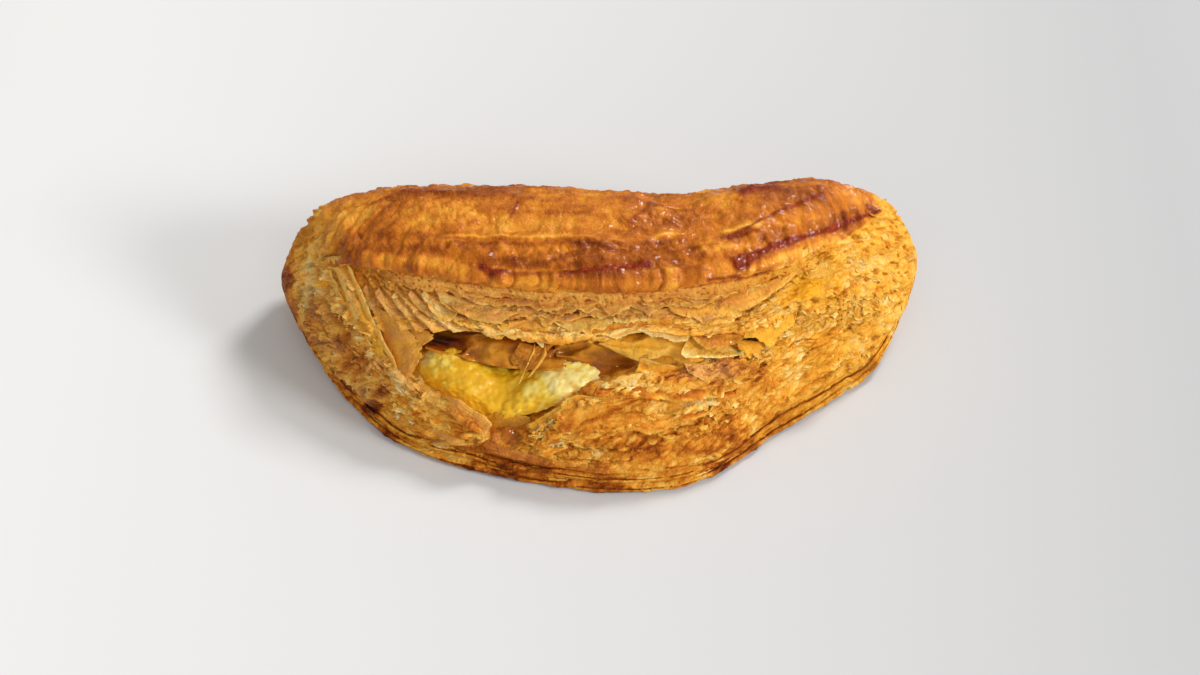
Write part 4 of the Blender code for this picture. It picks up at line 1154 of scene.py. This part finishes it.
def foldedMembrane(top, bottom, outs, baked, butter, holeShade, seed, spacing):
    # a moist skin of dough between two lines of pixels, with soft folds that hang over each other
    length, width = sizeInMm(top, bottom)
    u = np.linspace(0, 1, int(length / spacing))[:, None]
    v = np.linspace(0, 1, int(width / spacing))[None, :]
    px, py = [a * (1 - v) + b * v for a, b in zip(pixelsAlong(top, u), pixelsAlong(bottom, u))]
    x, oblique = wallSeenAt(px, py)
    along, over = u * length + 0 * v, -v * width + 0 * u
    bend = softNoise(along / 9, over / 5, 0, seed + 2, 2)
    fold = 1 - 2 * np.abs(softNoise(along / 11 - 0.5 * over / 6 + 0.5 * bend, over / 4.6, 0, seed, 2))
    crinkle = softNoise(along / 2.4 - over / 3, over / 0.9, 0, seed + 5, 3)
    rib = np.exp(-((1 - fold) / 0.5) ** 2)
    out = outs[0] + (outs[1] - outs[0]) * u + 1.3 * fold + 0.6 * bend + 0.35 * crinkle - 0.9
    front = drawnToEnds(x, wallAt(innerX(x), oblique, out))
    normals = frontNormals(front)
    # painted shade along the top, under the layers that hang over it, and in the hole; a painted highlight,
    # paler and more yellow, on the crests of the folds
    bake = baked + 0.1 * bend + 0.07 * crinkle - 0.16 * rib + 0.08 * (1 - v)
    bake = bake - 0.14 * smoothStep(0.6, 1, v) + nearSpots(px, py, holeShade)
    values = {"bake": bake, "butter": np.clip(butter + 0.3 * bend + 0.2 * rib, 0, 1), "moist": 0.9}
    return front[None], (front - 0.4 * normals)[None], values


def makeTornLeaves(s):
    groups = []
    for k, (top, bottom, outs, baked, butter) in enumerate(s["membranes"]):
        groups.append(foldedMembrane(top, bottom, outs, baked, butter, s["holeShade"], 700 + 9 * k,
                                     s["spacing"]))
    draw = np.random.default_rng(5)
    for k in range(s["ribbons"]):
        share = k / (s["ribbons"] - 1)
        away = fan["outer"] + share * (fan["inner"] - fan["outer"]) + draw.uniform(-3, 3)
        start = s["starts"][0] + share * (s["starts"][1] - s["starts"][0]) + draw.uniform(-1, 3)
        end = s["ends"][0] + share * (s["ends"][1] - s["ends"][0]) + draw.uniform(-7, 3)
        turns = np.radians(np.linspace(start, end, 5))
        attached, free = [[(fan["centre"][0] - r * math.cos(turn), fan["centre"][1] + r * math.sin(turn))
                           for turn in turns] for r in (away - 10, away)]
        groups.append(wallLeaf(attached, free, (-0.5, draw.uniform(0.5, 1.1), 0.4), 0.3,
                               (0.34 + draw.uniform(-0.1, 0.08), 0.0, 0.0, 0.15, 0.9), 300 + 7 * k,
                               s["spacing"]))
    for k, (attached, free, outs, thickness, *looks) in enumerate(s["single"]):
        groups.append(wallLeaf(attached, free, outs, thickness, looks, 400 + 7 * k, s["spacing"]))
    under = np.array(s["underLip"], float)
    for start, end, first, last, out, baked, butter, dry in s["rows"]:
        px = first + draw.uniform(-8, 8)
        while px < last:
            length = draw.uniform(26, 84)
            at = np.array([px, px + length / 2, px + length])
            lip = np.interp(at, under[:, 0], under[:, 1])
            top = lip + start + draw.uniform(-3, 3)
            low = lip + end + draw.uniform(-6, 5) + np.array([draw.uniform(-6, 3), 1.5, draw.uniform(-6, 3)])
            lean = draw.uniform(-4, 9)
            groups.append(wallLeaf(list(zip(at, top)), list(zip(at + lean, low)),
                                   (-0.3, out * draw.uniform(0.4, 1.0), draw.uniform(0.0, 0.5)), 0.3,
                                   (baked + draw.uniform(-0.06, 0.07), butter, 0.0, draw.uniform(0.3, 0.7),
                                    dry * draw.uniform(0.6, 1.2)),
                                   int(draw.integers(1000, 9000)), s["spacing"]))
            px += length * draw.uniform(0.5, 0.8)
    return joinedSheets("hangingTornLeaves", groups)


print("loose flakes and crumbs")

crumbFlakes = {
    # seed, how many at most, their half length and width in mm, and how far they lift
    "lowerCrumbFlakes": (11, 1300, (0.5, 1.8), (0.4, 1.3), (0.1, 0.5)),
    "upperCrumbFlakes": (12, 900, (0.5, 1.9), (0.4, 1.5), (0.1, 0.6)),
    "endCrumbFlakes": (13, 500, (0.5, 2.0), (0.5, 1.5), (0.1, 0.6)),
    # points along and across each flake
    "rows": 5,
    "columns": 4,
}


def makeCrumbFlakes(s, name, outer, normals, values):
    # small torn flakes that lie on a shell where its values scatter them, lifted at one edge
    seed, count, lengths, widths, lifts = s[name]
    draw = np.random.default_rng(seed)
    rows, columns = outer.shape[:2]
    i = draw.integers(8, rows - 8, count * 6)
    j = draw.integers(3, columns - 3, count * 6)
    keep = draw.uniform(0, 1, count * 6) < values["scatter"][i, j]
    i, j = i[keep][:count], j[keep][:count]
    count = len(i)
    place, out = outer[i, j], normals[i, j]
    along = outer[i + 2, j] - outer[i - 2, j]
    along /= np.linalg.norm(along, axis=1, keepdims=True)
    out = out + draw.normal(0, 0.18, (count, 3))
    out /= np.linalg.norm(out, axis=1, keepdims=True)
    upward = np.cross(out, along)
    upward *= np.sign(upward[:, 2:] + 1e-6)
    turn = draw.normal(0, 0.5, count)[:, None]
    ahead = along * np.cos(turn) + upward * np.sin(turn)
    rise = -along * np.sin(turn) + upward * np.cos(turn)
    a = np.linspace(-1, 1, s["rows"])[None, :, None]
    b = np.linspace(0, 1, s["columns"])[None, None, :]
    half = draw.uniform(*lengths, count)[:, None, None]
    wide = draw.uniform(*widths, count)[:, None, None]
    lift = draw.uniform(*lifts, count)[:, None, None]
    shape = draw.uniform(0.7, 1.1, (count, s["rows"], 1))
    rounded = np.sqrt(np.clip(1 - 0.9 * a**2, 0.05, 1))
    side = half * a * (1 - 0.25 * b * draw.uniform(0, 1, (count, 1, 1)))
    down = wide * b * rounded * shape
    bowed = draw.uniform(-0.3, 0.3, (count, 1, 1)) * half * (1 - a**2)
    lifted = -0.12 + lift * b**1.4 + bowed * b + 0.06 * draw.normal(0, 1, (count, s["rows"], s["columns"]))
    front = (place[:, None, None] + ahead[:, None, None] * side[..., None]
             - rise[:, None, None] * down[..., None] + out[:, None, None] * lifted[..., None])
    thin = 0.22 * (1 - 0.6 * b) + 0 * side
    back = front - out[:, None, None] * thin[..., None]
    bake = values["bake"][i, j][:, None, None] + draw.uniform(-0.08, 0.06, count)[:, None, None]
    bake = bake - 0.1 * b**3 * draw.uniform(0.2, 1, (count, 1, 1)) - 0.04 * np.abs(a) ** 3
    looks = {"bake": bake, "porous": 0.3}
    for key in ("butter", "dry"):
        looks[key] = values[key][i, j][:, None, None]
    return joinedSheets(name, [(front, back, looks)])


print("the cheese")

cheese = {
    "stations": 270,
    # half its length, the point that its ends close on, where along it they start to close, and the
    # heights of its bed behind the crest and of its underside
    "half": 47.0,
    "middle": (-6.0, 52.0, 9.5),
    "endStart": 0.86,
    "bed": 13.5,
    "under": 5.6,
    # its front edge, its crest and its back along x
    "frontY": [(-50, 30), (-44, 24.5), (-37, 20), (-31, 17.5), (-25.5, 14.5), (-20, 15), (-8, 16), (3, 20),
               (12, 27), (24, 38), (38, 46)],
    "frontZ": [(-50, 12), (-44, 13.5), (-37, 14.5), (-31, 13), (-25.5, 11.0), (-20, 14), (-8, 18), (3, 17),
               (12, 12.5), (24, 11), (38, 10.5)],
    "crestY": [(-50, 37), (-44, 32), (-37, 30), (-25.5, 27), (-8, 26), (3, 28), (12, 35), (24, 46), (38, 53)],
    "crestZ": [(-50, 15.5), (-43, 20), (-35, 21.5), (-25.5, 17), (-18, 19), (-8, 22), (3, 20), (12, 15),
               (24, 13), (38, 12.5)],
    "backY": [(-50, 62), (-25, 72), (0, 72), (24, 70), (38, 66)],
    # how high each form stands, in mm
    "relief": {"level": -0.2, "lumps": 0.45, "soft": 0.35, "curds": 0.24, "smallEdges": 0.16,
               "smallCurds": 0.12, "fine": 0.2},
    # how much creamier each form makes its place, and spots in pixels of the photograph
    "cream": {"right": 0.8, "lumps": 0.3, "curdTone": 0.25},
    "creamSpots": [(560, 382, 34, 14, -10, 0.4), (480, 385, 26, 20, 30, -0.5),
                   (440, 362, 26, 12, 20, 0.3), (500, 400, 16, 18, 0, -0.4)],
}


def makeCheese(s):
    middleX, middleY, middleZ = s["middle"]
    angle = np.linspace(0, math.pi, s["stations"] + 1)
    x = middleX - s["half"] * (0.5 * np.cos(angle) + 0.5 * (1 - 2 * angle / math.pi))
    inner = np.clip(x, middleX - s["endStart"] * s["half"], middleX + s["endStart"] * s["half"])
    frontY, frontZ = curveThrough(s["frontY"], inner), curveThrough(s["frontZ"], inner)
    crestY, crestZ = curveThrough(s["crestY"], inner), curveThrough(s["crestZ"], inner)
    backY = curveThrough(s["backY"], inner)
    under, bed = np.full_like(x, s["under"]), np.minimum(s["bed"], crestZ - 1)
    behind = np.minimum(7, 0.35 * (backY - crestY))
    controls = np.stack([np.stack(p, -1) for p in [
        (frontY, frontZ - 1.5), (frontY + 1.6, frontZ + 0.35 * (crestZ - frontZ)), (crestY, crestZ),
        (crestY + behind, 0.7 * bed + 0.3 * crestZ), (0.35 * crestY + 0.65 * backY, bed),
        (backY, 0.5 * (bed + under)), (0.3 * crestY + 0.7 * backY, under),
        (0.6 * frontY + 0.4 * crestY + 3, under + 0.3 * (frontZ - under))]], axis=1)
    shown = np.linspace(-0.3, 3.2, 84)
    hidden = np.linspace(3.2, 7.7, 26)[1:-1]
    section = aroundSection(controls, np.concatenate([shown, hidden]))
    past = np.clip((np.abs(x - middleX) / s["half"] - s["endStart"]) / (1 - s["endStart"]), 0, 1)
    grid = np.empty(section.shape[:2] + (3,))
    grid[..., 0] = x[:, None]
    centre = np.array([middleY, middleZ])
    grid[..., 1:] = centre + (section - centre) * np.sqrt(1 - past**2)[:, None, None]
    normals = gridNormals(grid)
    xx, yy, zz = (grid[..., k] for k in range(3))
    warp = 0.5 * softNoise(xx / 2.2, yy / 2.0, zz / 2.0, 94, 2)
    curd, curdEdge, _, _ = flakeCells(xx / 2.6 + warp, (yy + zz) / 2.1 + warp, 91)
    small, smallEdge, _, _ = flakeCells(xx / 1.2 + warp, (yy + zz) / 1.0 + warp, 93)
    forms = {
        "level": 1.0, "lumps": softNoise(xx / 7, yy / 6, zz / 6, 95, 3),
        "soft": softNoise(xx / 3.2, yy / 2.4, zz / 2.4, 97, 3),
        "fine": softNoise(xx / 1.6, yy / 1.3, zz / 1.3, 96, 2),
        "curds": curd * smoothStep(0, 0.3, curdEdge), "curdTone": curd,
        "smallEdges": smoothStep(0, 0.4, smallEdge), "smallCurds": small * smoothStep(0, 0.4, smallEdge),
        "right": smoothStep(-18, -8, xx),
    }
    front = 1 - smoothStep(6.0, 9.0, yy - crestY[:, None])
    outer = grid + normals * (blend(forms, s["relief"]) * front * (1 - past)[:, None])[..., None]
    cream = blend(forms, s["cream"]) + nearSpots(*seenAt(outer), s["creamSpots"])
    split = len(shown)
    # painted shade in the hollows of the curd
    values = {"cream": np.clip(cream, 0, 1)[:, :split],
              "paintedShade": smoothStep(-0.2, -0.9, forms["soft"])[:, :split] * 0.7}
    return closedShell("cheeseFilling", outer[:, :split], outer[:, split:][:, ::-1], values, values.keys())


crust, *crustSkin = makeTopCrust(topCrust)
lowerSide, *lowerSkin = makeTornSide(tornSide, "lowerCrustAndRim")
upperSide, *upperSkin = makeTornSide(tornSide, "upperTornLayers")
lipPiece = makeLipBand(lipBand)
leavesPiece = makeTornLeaves(tornLeaves)
lowerFlakes = makeCrumbFlakes(crumbFlakes, "lowerCrumbFlakes", *lowerSkin)
upperFlakes = makeCrumbFlakes(crumbFlakes, "upperCrumbFlakes", *upperSkin)
endFlakes = makeCrumbFlakes(crumbFlakes, "endCrumbFlakes", *crustSkin)
filling = makeCheese(cheese)


print("the finishes")


def newMaterial(name):
    made = bpy.data.materials.new(name)
    made.use_nodes = True
    made.node_tree.nodes.clear()
    return made, made.node_tree


def pastryFinish():
    # laminated butter dough, baked: crisp, dry and porous where it tore, and where egg wash was
    # brushed on it a hard golden glaze that shines
    made, tree = newMaterial("bakedPuffPastry")
    coords = addNode(tree, "ShaderNodeTexCoord").outputs["Object"]
    read = {k: addNode(tree, "ShaderNodeAttribute", attribute_name=k).outputs["Fac"]
            for k in pastryNumbers}
    # browned specks about 2 mm wide, and crumb grain about 0.6 mm wide
    specks = addNode(tree, "ShaderNodeTexNoise",
                     {"Vector": coords, "Scale": 520.0, "Detail": 4.0, "Roughness": 0.65}).outputs["Fac"]
    grain = addNode(tree, "ShaderNodeTexNoise",
                    {"Vector": coords, "Scale": 1700.0, "Detail": 2.0, "Roughness": 0.6}).outputs["Fac"]
    # small holes about 0.7 mm wide, 1.5 mm apart, drawn only as painted shade
    holes = addNode(tree, "ShaderNodeTexVoronoi", {"Vector": coords, "Scale": 620.0}).outputs["Distance"]
    holes = addNode(tree, "ShaderNodeMapRange", {
        "Value": holes, "From Min": 0.14, "From Max": 0.3, "To Min": 1.0, "To Max": 0.0}).outputs["Result"]
    sparse = addNode(tree, "ShaderNodeMapRange", {
        "Value": specks, "From Min": 0.53, "From Max": 0.66, "To Min": 0.0, "To Max": 0.9}).outputs["Result"]
    holes = addNode(tree, "ShaderNodeMath", {0: holes, 1: sparse}, operation="MULTIPLY").outputs[0]
    holes = addNode(tree, "ShaderNodeMath", {0: holes, 1: read["porous"]}, operation="MULTIPLY").outputs[0]
    # smooth skins show little of this
    rough = addNode(tree, "ShaderNodeMapRange", {
        "Value": read["porous"], "From Min": 0.0, "From Max": 1.0, "To Min": 0.5, "To Max": 1.0})
    rough = rough.outputs["Result"]
    baked = read["bake"]
    for source, most in ((specks, 0.09), (grain, 0.06)):
        change = addNode(tree, "ShaderNodeMapRange", {
            "Value": source, "From Min": 0.25, "From Max": 0.75, "To Min": -most, "To Max": most})
        baked = addNode(tree, "ShaderNodeMath", {0: change.outputs["Result"], 1: rough, 2: baked},
                        operation="MULTIPLY_ADD").outputs[0]
    colour = addNode(tree, "ShaderNodeValToRGB", {"Fac": baked}, stops=[
        (0.0, "FFE8A6"), (1.0, "3A1004"), (0.14, "FFD67C"), (0.28, "FABA4E"), (0.43, "E5992E"),
        (0.56, "CA741C"), (0.69, "A2530D"), (0.84, "742A02")]).outputs["Color"]
    # thin dough that dried without browning is a dull pinkish tan
    dried = addNode(tree, "ShaderNodeMath", {0: read["dry"], 1: 0.5}, operation="MULTIPLY").outputs[0]
    tan = addNode(tree, "ShaderNodeMix", {"Factor": dried, 6: colour, 7: linear("E2AC72")},
                  data_type="RGBA", blend_type="MIX").outputs[2]
    buttery = addNode(tree, "ShaderNodeMix", {"Factor": read["butter"], 6: tan, 7: linear("F8B22A")},
                      data_type="RGBA", blend_type="MIX")
    sticky = addNode(tree, "ShaderNodeMapRange", {
        "Value": read["syrup"], "From Min": 0.3, "From Max": 0.8, "To Min": 0.0, "To Max": 1.0,
    }).outputs["Result"]
    syrupColour = addNode(tree, "ShaderNodeValToRGB", {"Fac": specks}, stops=[
        (0.3, "5E1300"), (0.75, "A83700")]).outputs["Color"]
    streaked = addNode(tree, "ShaderNodeMix", {"Factor": sticky, 6: buttery.outputs[2], 7: syrupColour},
                       data_type="RGBA", blend_type="MIX")
    # painted shade: hollows, pits, cracks and holes are mixed towards a deep orange-brown
    hollow = addNode(tree, "ShaderNodeMath", {0: read["paintedShade"], 1: holes}, operation="MAXIMUM").outputs[0]
    deep = addNode(tree, "ShaderNodeMix", {"Factor": hollow, 6: streaked.outputs[2], 7: linear("9A4E08")},
                   data_type="RGBA", blend_type="MIX")
    shine = addNode(tree, "ShaderNodeMath", {0: read["glaze"], 1: sticky}, operation="MAXIMUM").outputs[0]
    shine = addNode(tree, "ShaderNodeMath", {0: shine, 1: read["moist"]}, operation="MAXIMUM").outputs[0]
    roughness = addNode(tree, "ShaderNodeMapRange", {
        "Value": shine, "From Min": 0.0, "From Max": 1.0, "To Min": 0.56, "To Max": 0.24}).outputs["Result"]
    relief = {}
    for source, distance in ((specks, 0.0022), (grain, 0.0009)):
        raised = addNode(tree, "ShaderNodeMath", {0: source, 1: rough}, operation="MULTIPLY").outputs[0]
        bump = addNode(tree, "ShaderNodeBump", {"Height": raised, "Strength": 0.6, "Distance": distance,
                                                **relief})
        relief = {"Normal": bump.outputs["Normal"]}
    wet = addNode(tree, "ShaderNodeMath", {0: sticky, 1: 0.4}, operation="MULTIPLY").outputs[0]
    wet = addNode(tree, "ShaderNodeMath", {0: read["moist"], 1: wet}, operation="MAXIMUM").outputs[0]
    coat = addNode(tree, "ShaderNodeMath", {0: shine, 1: 0.24}, operation="MULTIPLY").outputs[0]
    coat = addNode(tree, "ShaderNodeMath", {0: wet, 1: 0.35, 2: coat}, operation="MULTIPLY_ADD").outputs[0]
    shader = addNode(tree, "ShaderNodeBsdfPrincipled", {
        "Base Color": deep.outputs[2], "Roughness": roughness, "Coat Weight": coat,
        "Coat Roughness": 0.08, "IOR": 1.4, "Subsurface Weight": 0.2, "Subsurface Scale": 0.0014,
        "Subsurface Radius": (1.0, 0.5, 0.16), "Specular IOR Level": 0.22, **relief})
    addNode(tree, "ShaderNodeOutputMaterial", {"Surface": shader.outputs["BSDF"]})
    return made


def cheeseFinish():
    # hot cheese and egg: moist, slightly see-through curd that shines softly, yellow with cream
    made, tree = newMaterial("moistCheeseCurd")
    coords = addNode(tree, "ShaderNodeTexCoord").outputs["Object"]
    cream = addNode(tree, "ShaderNodeAttribute", attribute_name="cream").outputs["Fac"]
    paintedShade = addNode(tree, "ShaderNodeAttribute", attribute_name="paintedShade").outputs["Fac"]
    mottle = addNode(tree, "ShaderNodeTexNoise",
                     {"Vector": coords, "Scale": 420.0, "Detail": 3.0, "Roughness": 0.6}).outputs["Fac"]
    byMottle = addNode(tree, "ShaderNodeMapRange", {
        "Value": mottle, "From Min": 0.3, "From Max": 0.7, "To Min": -0.3, "To Max": 0.3}).outputs["Result"]
    tone = addNode(tree, "ShaderNodeMath", {0: cream, 1: byMottle}, operation="ADD").outputs[0]
    colour = addNode(tree, "ShaderNodeValToRGB", {"Fac": tone}, stops=[
        (0.0, "F4BA1E"), (1.0, "FFE996"), (0.35, "FDD442"), (0.7, "FFE272")]).outputs["Color"]
    # painted shade: the hollows of the curd turn a deeper yellow
    deep = addNode(tree, "ShaderNodeMix", {"Factor": paintedShade, 6: colour, 7: linear("E8B02A")},
                   data_type="RGBA", blend_type="MIX")
    bump = addNode(tree, "ShaderNodeBump", {
        "Height": mottle, "Strength": 0.5, "Distance": 0.0006}).outputs["Normal"]
    shader = addNode(tree, "ShaderNodeBsdfPrincipled", {
        "Base Color": deep.outputs[2], "Roughness": 0.42, "Normal": bump, "Coat Weight": 0.35,
        "Coat Roughness": 0.2, "IOR": 1.4, "Subsurface Weight": 0.25, "Subsurface Scale": 0.0025,
        "Subsurface Radius": (1.0, 0.7, 0.3)})
    addNode(tree, "ShaderNodeOutputMaterial", {"Surface": shader.outputs["BSDF"]})
    return made


pastryPieces = (crust, lowerSide, upperSide, lipPiece, leavesPiece, lowerFlakes, upperFlakes, endFlakes)
for pieces, finish, slot in ((pastryPieces, pastryFinish(), "pastry"),
                             ((filling,), cheeseFinish(), "cheese_filling")):
    for piece in pieces:
        piece.data.materials.append(finish)
        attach(piece, "root")
        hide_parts(slot)


print("the floor, the light and the camera")


def floorFinish():
    # matt paper sweep, a little brighter on the left
    made, tree = newMaterial("mattPaperSweep")
    coords = addNode(tree, "ShaderNodeTexCoord").outputs["Object"]
    split = addNode(tree, "ShaderNodeSeparateXYZ", {"Vector": coords})
    across = addNode(tree, "ShaderNodeMapRange", {
        "Value": split.outputs["X"], "From Min": -0.16, "From Max": 0.16, "To Min": 0.0, "To Max": 1.0})
    colour = addNode(tree, "ShaderNodeValToRGB", {"Fac": across.outputs["Result"]}, stops=[
        (0.0, "F1F3F7"), (1.0, "B9BBC0")])
    shader = addNode(tree, "ShaderNodeBsdfPrincipled", {
        "Base Color": colour.outputs["Color"], "Roughness": 0.9, "Specular IOR Level": 0.1})
    addNode(tree, "ShaderNodeOutputMaterial", {"Surface": shader.outputs["BSDF"]})
    return made


bpy.ops.object.select_all(action="DESELECT")
bpy.ops.mesh.primitive_plane_add(size=6.0, location=(0, 0, -0.0002))
floor = bpy.context.object
floor.name = "paperFloor"
floor.data.materials.append(floorFinish())

lights = [
    # name, place, size, power, colour
    ("keyFromBehind", (0.5, 0.52, 0.8), 0.26, 6.7, "FFFDF8"),
    ("sideFromTheRight", (1.00, -0.5, 0.6), 0.34, 9.4, "FFFDF8"),
    ("fillFromTheFront", (-0.1, -1.0, 0.7), 1.2, 4.5, "FFFFFF"),
]
for name, place, size, power, tint in lights:
    lamp = bpy.data.lights.new(name, "AREA")
    lamp.shape = "SQUARE"
    lamp.size = size
    lamp.energy = power
    lamp.color = linear(tint)[:3]
    holder = bpy.data.objects.new(name, lamp)
    bpy.context.scene.collection.objects.link(holder)
    holder.location = place
    # the broad front light only fills the shadows, without a sheen
    holder.visible_glossy = name != "fillFromTheFront"
    holder.rotation_euler = (Vector((0, 0, 0.02)) - Vector(place)).to_track_quat("-Z", "Y").to_euler()

world = bpy.data.worlds.new("paleRoom")
world.use_nodes = True
world.node_tree.nodes["Background"].inputs["Color"].default_value = linear("FFF8EC")
world.node_tree.nodes["Background"].inputs["Strength"].default_value = 0.34
bpy.context.scene.world = world
bpy.context.scene.view_settings.view_transform = "Standard"

lens = bpy.data.cameras.new("camera")
lens.lens = view["lens"]
lens.sensor_width = view["sensor"]
lens.clip_start = 0.01
camera = bpy.data.objects.new("camera", lens)
bpy.context.scene.collection.objects.link(camera)
tilt = math.radians(view["elevation"])
camera.location = (0, -view["distance"] * mm * math.cos(tilt),
                   view["target"][2] * mm + view["distance"] * mm * math.sin(tilt))
camera.rotation_euler = (math.radians(90) - tilt, 0, 0)
bpy.context.scene.camera = camera
